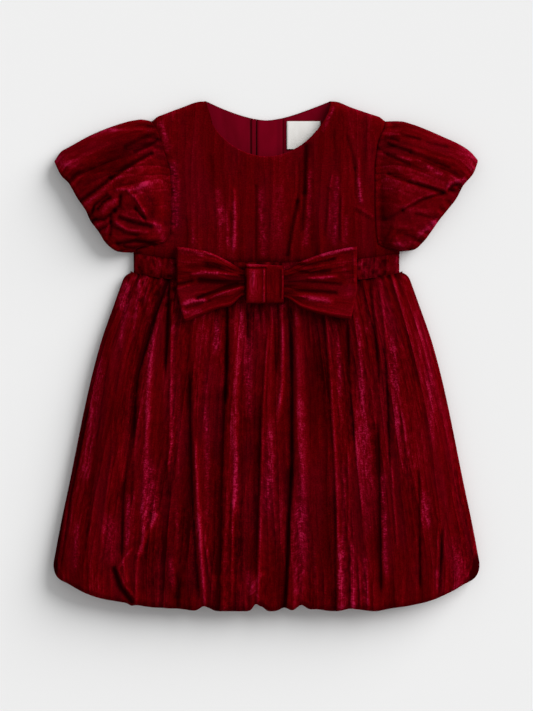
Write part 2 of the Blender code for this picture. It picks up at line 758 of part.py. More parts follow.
def sleeve_height(side, angle, u, w, p):
    """Height round the sleeve: a full front over a flat back, joined by round folds."""
    across = sin(angle)
    if across < 0:
        return SEAM_HEIGHT * max(0.0, 1 - SLEEVE_UNDER * abs(across) ** UNDER_ROUND)
    dome = SEAM_HEIGHT + (follow(SLEEVE_CROWN, u) - SEAM_HEIGHT) * across**SLEEVE_ROUND
    at_seam = SEAM_HEIGHT + (bodice_height(p.x, p.y) - SEAM_HEIGHT) * min(1.0, 4 * across)
    height = at_seam + max(0.0, dome - at_seam) * ease(u / SLEEVE_FULL)
    near_head = exp(-(((u - HEAD_GATHER_AT) / HEAD_GATHER_REACH) ** 2))
    gather = cos(2 * pi * HEAD_GATHERS * w) * HEAD_GATHER_DEPTH * near_head
    sink = creased(SLEEVE_CREASES[side], p.x, p.y)
    fold = (gather - sink) * across * ease(u / CREASES_FULL)
    return max(height + fold, at_seam)


def sleeve_place(side, angle, row):
    w = (1 - cos(angle)) / 2
    u = min(row, 1.0)
    front = sin(angle) >= 0
    p = sleeve_plan(side, u, w)
    z = sleeve_height(side, angle, u, w, p)
    if row <= 1.0:
        return p.x, p.y, z
    turn = min(row - 1, 1.0) * pi
    out = hem_normal(side)
    roll = sleeve_roll(w, front)
    hem = SLEEVE_HEM[side]
    run = Vector((hem[-1].x - hem[0].x, hem[-1].y - hem[0].y)).normalized()
    draw = roll * (1 - cos(turn))
    push = roll * sin(turn) - SLEEVE_TURN_UP * max(row - 2, 0.0)
    x = p.x + out.x * push + run.x * cos(angle) * draw
    y = p.y + out.y * push + run.y * cos(angle) * draw
    lip = SLEEVE_LIP_FRONT if front else SLEEVE_LIP_BACK
    inner = mix(SEAM_HEIGHT, lip, min(1.0, 2 * abs(sin(angle))))
    return x, y, mix(z, inner, (1 - cos(turn)) / 2)


def make_sleeves():
    ring = [acos(2 * share - 1) for share in reversed(ARMHOLE_SHARES)]
    ring += [2 * pi - acos(2 * share - 1) for share in ARMHOLE_SHARES_BACK[1:]]
    rows = (0.0, 0.06, 0.13, 0.24, 0.38, 0.52, 0.66, 0.8, 0.9, 1.0, 1.25, 1.5, 1.75, 2.0, 3.0)
    for side in ("left", "right"):
        panel(
            f"sleeve_{side}",
            ring,
            rows,
            lambda angle, row, side=side: sleeve_place(side, angle, row),
            VELVET,
            VELVET_RED,
            face_up=side == "right",
            tube=True,
        )


# ---- bow ----

def bow_plan(side, v, x):
    """Height up the page at a share v across one side of the bow."""
    low = [(abs(p.x), p.y) for p in BOW_LOW[side]]
    high = [(abs(p.x), p.y) for p in BOW_HIGH[side]]
    return mix(follow(low, abs(x)), follow(high, abs(x)), v)


def bow_place(side, v, row):
    """Out along the front of the loop, round its end and back underneath."""
    start = BOW_LOW[side][0].x
    end = mix(BOW_LOW[side][-1].x, BOW_HIGH[side][-1].x, min(1.0, 2.5 * v))
    out = min(row, 1.0) if row <= 1 else max(0.0, 3.0 - max(row, 2.0))
    around = min(1.0, max(0.0, row - 1)) * pi
    x = mix(start, end, out)
    y = bow_plan(side, v, x)
    tuck = exp(-((out / TUCKED_TO) ** TUCK_POWER))
    puff = LOOP_PUFF * sin(pi * min(1.0, out * PUFF_END)) * (1 - (2 * v - 1) ** 4 * PUFF_FLAT)
    pleat = LOOP_PLEAT * cos(2 * pi * LOOP_PLEATS * v) * (1 - out) ** PLEAT_FADE
    rest = follow(BOW_REST, y)
    under = mix(0.0, LOOP_IN_KNOT, tuck)
    top = mix(LOOP_TOP, LOOP_TOP_IN_KNOT, tuck) + (puff + pleat) * (1 - tuck)
    top -= creased(BOW_CREASES[side], x, y) * (1 - tuck)
    middle, half = (top + under) / 2, (top - under) / 2
    x += (1 if end > 0 else -1) * LOOP_END_ROUND * sin(around)
    return x, y, rest + middle + half * cos(around)


def knot_place(across, angle):
    """Round the band that wraps the middle of the bow, front first."""
    high = KNOT_HIGH - KNOT_SLANT * across
    middle_y, half_y = (KNOT_LOW + high) / 2, (high - KNOT_LOW) / 2
    y = middle_y - half_y * round_sign(cos(angle), KNOT_CORNER)
    level = round_sign(sin(angle), KNOT_CORNER)
    x = mix(KNOT_LEFT, KNOT_RIGHT, across)
    rest = follow(BOW_REST, y)
    front = KNOT_PLEAT * ease((KNOT_PLEAT_AT - across) / 0.12) + KNOT_CROWN * sin(pi * across)
    z = rest + KNOT_RISE / 2 + (KNOT_RISE / 2 + (front if level > 0 else 0.0)) * level
    return x, y, z


def round_sign(value, power):
    return (1 if value >= 0 else -1) * abs(value) ** power


def make_bow():
    across = [(1 - cos(pi * k / 10)) / 2 for k in range(11)]
    rows = (0.0, 0.12, 0.25, 0.36, 0.5, 0.65, 0.8, 0.92, 1.0, 1.33, 1.66, 2.0, 2.2, 2.6, 2.8, 3.0)
    for side in ("left", "right"):
        panel(
            f"bow_{side}",
            across,
            rows,
            lambda v, row, side=side: bow_place(side, v, row),
            VELVET,
            VELVET_RED,
            face_up=side == "left",
        )
    stops = (0.0, 0.12, 0.3, 0.44, 0.52, 0.6, 0.8, 1.0)
    around = [2 * pi * share for share in shares(24)]
    panel("bow_knot", stops, around, knot_place, VELVET, VELVET_RED, tube=True)


# ---- inside of the back neck ----

def back_inside(x, share):
    """A place on the back's inside, from well below the neckline up to just inside its edge."""
    high = min(neck_back(x) - NECK_INSET, shoulder_line(x) - SHOULDER_INSET)
    return x, mix(LINING_LOW, high, share)


def lining_edge(side, share):
    p = trace(ARMHOLE[side], mix(0.24, 0.9, share))
    return p.x + (LINING_INSET if side == "left" else -LINING_INSET)


def make_lining():
    stack = VELVET + SEAM + LINING
    edges = {
        "back_lining_left": (None, UNDER_STRIP_LEFT - SEAM / 2),
        "placket_under": (UNDER_STRIP_LEFT + SEAM / 2, PLACKET_LEFT - SEAM / 2),
        "placket_over": (PLACKET_LEFT + SEAM / 2, PLACKET_RIGHT - SEAM / 2),
        "back_lining_right": (PLACKET_RIGHT + SEAM / 2, None),
    }

    def make(name, start, end):
        height = stack + (PLACKET_LIFT if name == "placket_over" else 0.0)
        parts = shares(8 if start is None or end is None else 2)

        def place(u, share):
            left = lining_edge("left", share) if start is None else start
            right = lining_edge("right", share) if end is None else end
            return *back_inside(mix(left, right, u), share), height

        panel(name, parts, parts, place, LINING, LINING_RED, LINING_ROUGHNESS)

    for name, (start, end) in edges.items():
        make(name, start, end)


def make_label():
    floor = VELVET + SEAM + LINING + SEAM + LABEL

    def place(u, v):
        return mix(LABEL_LEFT, LABEL_RIGHT, u), mix(LABEL_LOW, LABEL_HIGH, v), floor

    panel("neck_label", (0, 1), (0, 1), place, LABEL, LABEL_WHITE, LABEL_ROUGHNESS)


def main():
    make_waistband()
    make_skirt()
    make_bodice()
    make_sleeves()
    make_lining()
    make_label()
    make_bow()


clear_scene()
dress = bpy.data.collections.new("toddler_party_dress")
bpy.context.scene.collection.children.link(dress)
main()
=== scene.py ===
from collections import namedtuple
from functools import partial
from math import pi, radians

import bmesh
import bpy
import numpy as np
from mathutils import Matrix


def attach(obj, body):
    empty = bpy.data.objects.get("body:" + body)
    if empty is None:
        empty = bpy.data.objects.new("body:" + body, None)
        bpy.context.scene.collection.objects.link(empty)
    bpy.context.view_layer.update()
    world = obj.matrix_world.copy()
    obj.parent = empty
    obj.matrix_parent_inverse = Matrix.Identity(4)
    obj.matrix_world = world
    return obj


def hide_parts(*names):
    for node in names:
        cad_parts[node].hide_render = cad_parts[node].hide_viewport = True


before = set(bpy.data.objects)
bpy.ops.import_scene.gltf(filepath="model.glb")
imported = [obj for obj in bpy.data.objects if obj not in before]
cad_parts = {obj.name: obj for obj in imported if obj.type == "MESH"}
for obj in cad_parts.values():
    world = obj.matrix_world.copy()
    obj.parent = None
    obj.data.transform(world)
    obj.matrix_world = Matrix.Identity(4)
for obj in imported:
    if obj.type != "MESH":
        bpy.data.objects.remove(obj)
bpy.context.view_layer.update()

# lengths are in millimetres until a point is placed; x to the right, y to the neck, z up
mm = 0.001
signs = {"left": -1, "right": 1}

Place = namedtuple("Place", "x y")
# a line of cloth running down the skirt: its x at four even stations from top to bottom
Run = namedtuple("Run", "top bottom x0 x1 x2 x3 deep half")
# a crease over three points
Crease = namedtuple("Crease", "x1 y1 x2 y2 x3 y3 deep half")

dress = {
    "halfWidth": 191.4,
    "halfLength": 229.0,
    "frontEdge": 5.75,
    "backEdge": 4.25,
    "backRound": 7.0,
    "seamGap": 0.3,
    "seamSink": 1.1,      # how far a sewn edge dips
    "seamReach": 2.2,
    "seamShade": 1.2,      # how far the painted shade beside a seam reaches
    "tuck": 2.2,          # what is carried on underneath at a seam
    "tuckDown": 1.6,
    "sideSeam": 5.0,
    "sideStep": 0.05,     # the front ends this much above the side seam, the back below it
}
halfGap = dress["seamGap"] / 2
# how long the ends of a run take to fade in, and how uneven it is along its length
running = {"end": 14, "uneven": 0.4, "beat": 17, "drift": 40, "seed": 9}


def mix(a, b, share):
    return a + (b - a) * share


def limit(value, most=1):
    return np.clip(value, 0, most)


def ease(value):
    value = limit(value)
    return value * value * (3 - 2 * value)


def rise(share):
    return np.sqrt(1 - (1 - limit(share)) ** 2)


def fade(away, reach):
    return np.exp(-away / reach)


def bell(away, half):
    return np.exp(-((away / half) ** 2))


def follow(table, at):
    # a smooth curve through pairs of place and value that never overshoots them
    places, values = np.array(table, float).T
    at = np.clip(at, places[0], places[-1])
    span = np.diff(places)
    step = np.diff(values) / span
    before, after = step[:-1], step[1:]
    same = before * after > 0
    middle = np.where(same, 2 * before * after / np.where(same, before + after, 1.0), 0.0)
    slope = np.concatenate([step[:1], middle, step[-1:]])
    i = np.clip(np.searchsorted(places, at, side="right") - 1, 0, len(span) - 1)
    f = (at - places[i]) / span[i]
    start = (1 + 2 * f) * (1 - f) ** 2 * values[i] + f * (1 - f) ** 2 * span[i] * slope[i]
    end = f * f * (3 - 2 * f) * values[i + 1] - f * f * (1 - f) * span[i] * slope[i + 1]
    return start + end


def trace(points, share):
    # the place at a share of the length of a curve through a few points
    x, y = np.array(points, float).T
    reach = np.concatenate([[0.0], np.cumsum(np.hypot(np.diff(x), np.diff(y)))])
    return Place(*(follow(np.stack([reach, k], 1), share * reach[-1]) for k in (x, y)))


def patch(left, right, low, high, u, v):
    # a place inside four edge curves; low and high run along u, left and right along v
    corner = [[edge(0.0 * u + end) for end in (0, 1)] for edge in (low, high)]
    found = []
    for k in (0, 1):
        sides = mix(left(v)[k], right(v)[k], u)
        ends = mix(low(u)[k], high(u)[k], v)
        bottom, top = (mix(start[k], stop[k], u) for start, stop in corner)
        found.append(sides + ends - mix(bottom, top, v))
    return Place(*found)


def fromEnds(share):
    return np.minimum(share, 1 - share)


def stages(v, plan):
    # a plan holds the shares at which the outside, the turned edge and the inside of a cloth begin; this
    # gives how far a place is tucked under the seam, along the outside, round the edge and along the inside
    start, edge, inner = plan
    tuck = limit(1 - v / start) if start else 0.0
    turn = limit((v - edge) / (inner - edge)) * pi
    return tuck, limit((v - start) / (edge - start)), turn, limit((v - inner) / (1 - inner))


def wander(x, y, seed):
    # smooth random values from -1 to 1 that change once a unit
    size = 128
    table = np.random.RandomState(seed).uniform(-1, 1, (size, size))
    i, j = np.floor(x).astype(int), np.floor(y).astype(int)
    fx, fy = ease(x - i), ease(y - j)
    low = mix(table[i % size, j % size], table[(i + 1) % size, j % size], fx)
    high = mix(table[i % size, (j + 1) % size], table[(i + 1) % size, (j + 1) % size], fx)
    return mix(low, high, fy)


def noise(x, y, grain):
    # a grain is its width, its length and a seed
    wide, long, seed = grain
    return wander(x / wide, y / long, seed)


def ridged(x, y, grain):
    # thin ridges in smooth random cloth
    return 1 - 2 * np.abs(noise(x, y, grain))


def wrinkles(x, y, high, grain):
    # fine crushing that runs along y
    wide, long, seed = grain
    x = x + 3.0 * noise(x, y, (40, 40, seed + 3))
    short = noise(x, y, (0.45 * wide, 0.35 * long, seed + 1))
    return high * (0.65 * ridged(x, y, grain) + 0.35 * short)


def runsOf(runs, x, y, left, right, power, edge=None):
    # left and right widen or narrow a run on each side; an edge ends it within that on its right
    total = np.zeros_like(x)
    for run in map(Run._make, runs):
        along = (run.top - y) / (run.top - run.bottom)
        stations = ((0, run.x0), (1 / 3, run.x1), (2 / 3, run.x2), (1, run.x3))
        away = x - follow(stations, along)
        beats = wander(y / running["beat"] + run.x0, y / running["drift"], running["seed"])
        present = ease((run.top - y) / running["end"]) * ease((y - run.bottom) / running["end"])
        share = np.abs(away) / np.where(away < 0, left * run.half, edge or right * run.half)
        total += run.deep * present * (1 + running["uneven"] * beats) * np.exp(-(share ** power))
    return total


def creasesOf(creases, x, y, power=1.6):
    total = np.zeros_like(x)
    for c in map(Crease._make, creases):
        legs = []
        for x1, y1, x2, y2 in ((c.x1, c.y1, c.x2, c.y2), (c.x2, c.y2, c.x3, c.y3)):
            dx, dy = x2 - x1, y2 - y1
            along = limit(((x - x1) * dx + (y - y1) * dy) / (dx * dx + dy * dy))
            legs.append(np.hypot(x - x1 - dx * along, y - y1 - dy * along))
        total += c.deep * np.exp(-((np.minimum(*legs) / c.half) ** power))
    return total


def gridMesh(name, columns, rows, size=1):
    bm = bmesh.new()
    bmesh.ops.create_grid(bm, x_segments=columns, y_segments=rows, size=size)
    mesh = bpy.data.meshes.new(name)
    bm.to_mesh(mesh)
    bm.free()
    return mesh


def addObject(name, data):
    item = bpy.data.objects.new(name, data)
    bpy.context.scene.collection.objects.link(item)
    return item


def makeSheet(name, settings, place, facing=1, tube=False):
    # a grid laid into shape by place(u, v), which also gives three masks: painted shade, painted highlight
    # and crushed pile
    mesh = gridMesh(name, settings["columns"], settings["rows"])
    flat = np.empty(len(mesh.vertices) * 3)
    mesh.vertices.foreach_get("co", flat)
    u, v = (flat.reshape(-1, 3)[:, :2].T + 1) / 2
    x, y, z, *masks = place(u, v)
    mesh.vertices.foreach_set("co", (np.stack([x, y, z], 1) * mm).ravel())
    for label, values in zip(("paintedShade", "paintedHighlight", "crushed"), masks):
        layer = mesh.attributes.new(label, "FLOAT", "POINT")
        layer.data.foreach_set("value", limit(values + 0.0 * u).astype(np.float32))
    corners = np.empty(len(mesh.loops), int)
    mesh.loops.foreach_get("vertex_index", corners)
    width, length = settings.get("cloth", (0, 0))
    across, along = (u * width, v * length) if width else (x, y)
    cloth = np.stack([across[corners], along[corners]], 1) * mm
    mesh.uv_layers.new(name="cloth").data.foreach_set("uv", cloth.ravel())
    mesh.update()
    bm = bmesh.new()
    bm.from_mesh(mesh)
    if tube:
        bmesh.ops.remove_doubles(bm, verts=bm.verts, dist=0.01 * mm)
        middle = sum(vertex.co.z for vertex in bm.verts) / len(bm.verts)
        outward = sum((f.calc_center_median().z - middle) * f.normal.z * f.calc_area() for f in bm.faces)
    else:
        outward = sum(f.normal.z * f.calc_area() for f in bm.faces) * facing
    if outward < 0:
        bmesh.ops.reverse_faces(bm, faces=bm.faces)
    bm.to_mesh(mesh)
    bm.free()
    mesh.shade_smooth()
    return addObject(name, mesh)


def dressPiece(piece, node, finish):
    piece.data.materials.append(finishes[finish])
    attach(piece, "root")
    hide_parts(node)


# finishes

pile = {
    # from dark to light: the pile's own tones, with the painted shade of valleys towards the dark end and the
    # painted highlight of crests towards the light end
    "colours": (
        (0.18, (0.018, 0.0000, 0.0002)),
        (0.36, (0.052, 0.0001, 0.0006)),
        (0.50, (0.092, 0.0002, 0.0012)),
        (0.62, (0.145, 0.0009, 0.0050)),
        (0.80, (0.270, 0.0060, 0.0300)),
    ),
    # how many of each to the metre, across and along, and the detail of each noise
    "sway": (9, 7, 1),
    "patches": (30, 9, 2),
    "strips": (62, 4.5),
    "slivers": (190, 13),
    "streaks": (520, 45, 3),
    "mottle": (300, 150, 4),
    "ticks": (270, 660, 4),
    "worn": (26, 7, 3),
    "grain": (700, 760, 1),
    "blush": (38, 12, 2),
    "swayBy": 0.012,
    # where a noise begins to show and where it shows fully
    "tickRange": (0.32, 0.70),
    "wornRange": (0.40, 0.66),
    "blushRange": (0.42, 0.66),
    # places on the colour ramp: the middle, how far painted highlight lifts and how far painted shade lowers
    "level": 0.431,
    "paintedHighlightLift": 0.24,
    "paintedShadeFall": 0.40,
    "pink": (0.0, 0.0004, 0.0090, 1.0),
    "bump": {"Strength": 0.7, "Distance": 0.9 * mm},
    "shader": {
        "Roughness": 0.9,
        "Specular IOR Level": 0.0,
        "Sheen Weight": 0.10,
        "Sheen Roughness": 0.30,
        "Sheen Tint": (0.70, 0.0, 0.06, 1.0),
    },
    # how crushed each velvet is, and its lightness shift, painted light where above nought and painted shade
    # where below
    "velvets": {
        "skirt": (1.0, 0.0),
        "bodice": (0.42, -0.004),
        "sleeve": (0.8, -0.008),
        "waistband": (0.75, -0.045),
        "bow": (0.8, 0.0),
        "knot": (0.7, 0.045),
    },
}

woven = {
    "uneven": (60, 25, 2),
    "unevenRange": (0.1, 0.7),
    "bumpHeight": 0.2 * mm,
    # painted shade: the colour that a cloth darkens towards at its edges and folds
    "fold": (0.010, 0.0, 0.0006, 1.0),
    # two colours, threads across and along, bump, roughness and specular
    "cloths": {
        "lining cloth": (
            (0.182, 0.0004, 0.0100, 1), (0.105, 0.0001, 0.0045, 1), 9000, 9000, 0.10, 0.50, 0.012
        ),
        "label ribbon": ((0.86, 0.85, 0.83, 1), (0.62, 0.60, 0.57, 1), 7000, 12000, 0.25, 0.70, 0.05),
    },
}


def setInputs(tree, node, inputs):
    # a socket is linked, and anything else is a constant
    for name, value in inputs.items():
        value = value.socket if isinstance(value, Value) else value
        if isinstance(value, bpy.types.NodeSocket):
            tree.links.new(value, node.inputs[name])
        else:
            node.inputs[name].default_value = value
    return node


def newNode(tree, kind, inputs, **settings):
    node = tree.nodes.new("ShaderNode" + kind)
    for name, value in settings.items():
        setattr(node, name, value)
    return setInputs(tree, node, inputs)


class Value:
    # a number in a shader that can be added, subtracted and multiplied

    def __init__(self, tree, socket):
        self.tree = tree
        self.socket = socket

    def reckon(self, operation, other=None, clamp=False):
        inputs = {0: self} if other is None else {0: self, 1: other}
        node = newNode(self.tree, "Math", inputs, operation=operation, use_clamp=clamp)
        return Value(self.tree, node.outputs[0])

    def __add__(self, other):
        return self.reckon("ADD", other)

    def __sub__(self, other):
        return self.reckon("SUBTRACT", other)

    def __mul__(self, other):
        return self.reckon("MULTIPLY", other)


def newGroup(name, inputs):
    group = bpy.data.node_groups.new(name, "ShaderNodeTree")
    for label, value in inputs.items():
        kind = "NodeSocketColor" if isinstance(value, tuple) else "NodeSocketFloat"
        group.interface.new_socket(name=label, in_out="INPUT", socket_type=kind).default_value = value
    for label, kind in (("Color", "NodeSocketColor"), ("Height", "NodeSocketFloat")):
        group.interface.new_socket(name=label, in_out="OUTPUT", socket_type=kind)
    given = group.nodes.new("NodeGroupInput")
    given = {label: Value(group, given.outputs[label]) for label in inputs}
    cloth = newNode(group, "UVMap", {}, uv_map="cloth").outputs[0]
    return group, given, cloth, group.nodes.new("NodeGroupOutput")


def maskOf(tree, label):
    return Value(tree, newNode(tree, "Attribute", {}, attribute_name=label).outputs["Fac"])


def stretched(tree, vector, scale):
    # the cloth's own coordinates, so many to the metre across and along
    return newNode(tree, "Mapping", {"Vector": vector, "Scale": (*scale, 1.0)}).outputs[0]


def noiseOn(tree, vector, grain):
    across, along, detail = grain
    inputs = {"Vector": stretched(tree, vector, (across, along)), "Scale": 1.0, "Detail": detail}
    return Value(tree, newNode(tree, "TexNoise", inputs).outputs["Fac"])


def ramp(value, low, high):
    inputs = {"Value": value, "From Min": low, "From Max": high}
    node = newNode(value.tree, "MapRange", inputs, interpolation_type="SMOOTHSTEP")
    return Value(value.tree, node.outputs[0])


def mixColours(tree, factor, first, second, blend="MIX"):
    inputs = {0: factor, 6: first, 7: second}
    return newNode(tree, "Mix", inputs, data_type="RGBA", blend_type=blend).outputs[2]


def colourRamp(value, stops):
    node = newNode(value.tree, "ValToRGB", {"Fac": value})
    places = node.color_ramp.elements
    while len(places) < len(stops):
        places.new(0.5)
    for place, (at, colour) in zip(places, stops):
        place.position = at
        place.color = (*colour, 1.0)
    return node.outputs["Color"]


def pressedStrips(tree, vector, scale):
    # long cells, each a little lighter or darker and each fading from its left edge to its right
    vector = stretched(tree, vector, scale)
    cells = newNode(tree, "TexVoronoi", {"Vector": vector, "Scale": 1.0}, voronoi_dimensions="2D")
    offset = newNode(tree, "VectorMath", {0: cells.outputs["Position"], 1: vector}, operation="SUBTRACT")
    apart = newNode(tree, "SeparateXYZ", {0: offset.outputs[0]})
    shade = newNode(tree, "SeparateColor", {0: cells.outputs["Color"]})
    across = Value(tree, apart.outputs["X"]) * 0.6 + 0.5
    return across * 0.55 + Value(tree, shade.outputs[0]) * 0.45


def crushedPile():
    group, given, cloth, out = newGroup("crushed pile", {"Crushing": 0.5, "Lightness": 0.0})
    paintedShade, paintedHighlight, crushed = (maskOf(group, label) for label in ("paintedShade", "paintedHighlight", "crushed"))
    drift = newNode(group, "CombineXYZ", {"X": (noiseOn(group, cloth, pile["sway"]) - 0.5) * pile["swayBy"]})
    bent = newNode(group, "VectorMath", {0: cloth, 1: drift.outputs[0]}, operation="ADD").outputs[0]
    patches, streaks, mottle, worn, blush = (
        noiseOn(group, bent, pile[label]) for label in ("patches", "streaks", "mottle", "worn", "blush")
    )
    grain, ticks = (noiseOn(group, cloth, pile[label]) for label in ("grain", "ticks"))
    strips, slivers = (pressedStrips(group, bent, pile[label]) for label in ("strips", "slivers"))
    worn = ramp(worn, *pile["wornRange"])
    relief = strips * 0.36 + slivers * 0.36 + streaks * 0.28
    texture = patches * 0.26 + relief * 0.46 + mottle * 0.28
    contrast = (given["Crushing"] * 1.05 + 0.35) * (worn * 0.75 + 0.60)
    ragged = crushed.reckon("MULTIPLY", mottle * 2.2 - 0.25, clamp=True)
    speckled = (ragged + worn * given["Crushing"] * 0.16) * (ramp(ticks, *pile["tickRange"]) * 0.26 + 0.07)
    # the crest mask adds painted highlight, the valley mask painted shade, and the piece's lightness painted
    # light on some pieces and painted shade on others
    lifted = (texture - 0.5) * contrast + pile["level"] + paintedHighlight * pile["paintedHighlightLift"] + speckled
    lifted = lifted + (grain - 0.5) * (lifted * 1.1 - 0.22) + given["Lightness"] - paintedShade * pile["paintedShadeFall"]
    blush = ramp(blush, *pile["blushRange"]) * 0.3 + ragged * 0.6
    colour = mixColours(group, blush * lifted, colourRamp(lifted, pile["colours"]), pile["pink"], "ADD")
    setInputs(group, out, {"Color": colour, "Height": relief})
    return group


def wovenThreads():
    inputs = {"Thread": (1, 1, 1, 1), "Shadow": (0, 0, 0, 1), "Across": 2000.0, "Along": 2000.0}
    group, given, cloth, out = newGroup("woven threads", inputs)
    apart = newNode(group, "SeparateXYZ", {0: cloth})
    across, along = (
        Value(group, apart.outputs[axis]) * given[count] for axis, count in (("X", "Across"), ("Y", "Along"))
    )
    height = across.reckon("SINE") * along.reckon("SINE") * 0.5 + 0.5
    uneven = ramp(noiseOn(group, cloth, woven["uneven"]), *woven["unevenRange"])
    share = (height * 0.35 + 0.5).reckon("MULTIPLY", uneven, clamp=True)
    threads = mixColours(group, share, given["Shadow"], given["Thread"])
    # painted shade from the valley mask darkens the cloth towards the fold colour
    colour = mixColours(group, maskOf(group, "paintedShade") * 0.85, threads, woven["fold"])
    setInputs(group, out, {"Color": colour, "Height": height})
    return group


def newMaterial(name, shaderInputs, group=None, given=None, bump=None):
    material = bpy.data.materials.new(name)
    material.use_nodes = True
    tree = material.node_tree
    shader = setInputs(tree, tree.nodes["Principled BSDF"], shaderInputs)
    if group:
        pattern = newNode(tree, "Group", given, node_tree=group)
        raised = newNode(tree, "Bump", {"Height": pattern.outputs["Height"], **bump})
        setInputs(tree, shader, {"Base Color": pattern.outputs["Color"], "Normal": raised.outputs[0]})
    return material


def makeFinishes():
    made = {}
    pileGroup = crushedPile()
    weaveGroup = wovenThreads()
    for name, (crushing, paintedLightness) in pile["velvets"].items():
        given = {"Crushing": crushing, "Lightness": paintedLightness}
        made[name] = newMaterial(f"{name} velvet", pile["shader"], pileGroup, given, pile["bump"])
    for name, (thread, shadow, across, along, bump, roughness, specular) in woven["cloths"].items():
        given = {"Thread": thread, "Shadow": shadow, "Across": across, "Along": along}
        looks = {"Roughness": roughness, "Specular IOR Level": specular}
        bump = {"Strength": bump, "Distance": woven["bumpHeight"]}
        made[name.split()[0]] = newMaterial(name, looks, weaveGroup, given, bump)
    print("finishes made")
    return made


finishes = makeFinishes()


# waistband

band = {
    "half": 119.4,
    "height": 8.6,
    "round": 26.0,
    "top": 84.2,
    "topLift": 8.0,
    "waist": 66.2,
    "waistLift": 8.0,
    "columns": 320,
    "rows": 40,
    "backRows": 6,
    "cloth": (250, 24),
    "flat": (0.250, 0.0185),
    "bulge": 0.5,
    "puckerHeight": 0.35,
    "wrinkleHeight": 0.42,
    "wrinkles": (4.6, 16, 5),
    "ticks": (5.2, 14, 5),
    "puckers": (2.6, 3.4, 7),
    "finePuckers": (1.7, 5, 8),
    "blotches": (9, 9, 6),
    "calmFrom": 50.0,     # to the right of this the pile is less crushed
    "calmOver": 40.0,
}


def bandTop(x):
    return band["top"] + band["topLift"] * np.abs(x / band["half"]) ** 3


def waistLine(x):
    return band["waist"] + band["waistLift"] * np.abs(x / band["half"]) ** 4


def backHeight(inset):
    return dress["backEdge"] * (1 - rise(inset / dress["backRound"]))


def seamDip(away):
    return dress["seamSink"] * np.exp(-((away / dress["seamReach"]) ** 1.5))


def seamShade(away):
    return fade(away, dress["seamShade"])


def atSide(share, z, sign):
    # the outermost column goes straight to the side seam
    return np.where(np.abs(share) > 0.9995, dress["sideSeam"] + sign * dress["sideStep"], z)


def bandPlan(u, v):
    s = 2 * u - 1
    x = s * band["half"]
    low, high = waistLine(x) + halfGap, bandTop(x) - halfGap
    return s, x, mix(low, high, v), low, high


def bandFront(u, v):
    s, x, y, low, high = bandPlan(u, v)
    full = rise((band["half"] - np.abs(x)) / band["round"])
    relief = band["bulge"] * np.sin(pi * v) + wrinkles(x, y, band["wrinkleHeight"], band["wrinkles"])
    ticks = ridged(x, y, band["ticks"])
    pucker = noise(x, y, band["puckers"]) + 0.6 * noise(x, y, band["finePuckers"])
    relief += band["puckerHeight"] * pucker
    z = dress["frontEdge"] + (band["height"] - dress["frontEdge"] + relief) * full
    z -= seamDip(y - low) + seamDip(high - y)
    # painted shade beside the seams, in the ticks and in the puckers; painted highlight on the ticks' ridges
    paintedShade = 0.22 * seamShade(y - low) + 0.16 * seamShade(high - y)
    paintedShade += 0.22 * limit(-ticks) + 0.55 * limit(-pucker - 0.15)
    calm = mix(1.0, 0.5, ease((x - band["calmFrom"]) / band["calmOver"]))
    crushed = 0.5 * noise(x, y, band["blotches"]) * calm + 0.4 * limit(pucker)
    return x, y, atSide(s, z, 1), paintedShade, 0.22 * ticks, crushed


def bandBack(u, v):
    s, x, y = bandPlan(u, v)[:3]
    return x, y, atSide(s, backHeight(band["half"] - np.abs(x)), -1), 0.0, 0.0, 0.0


def makeBand():
    front = makeSheet("waistbandFront", band, bandFront)
    dressPiece(front, "waistband_front", "waistband")
    back = makeSheet("waistbandBack", {**band, "rows": band["backRows"]}, bandBack, facing=-1)
    dressPiece(back, "waistband_back", "waistband")
    print("waistband made")


# skirt

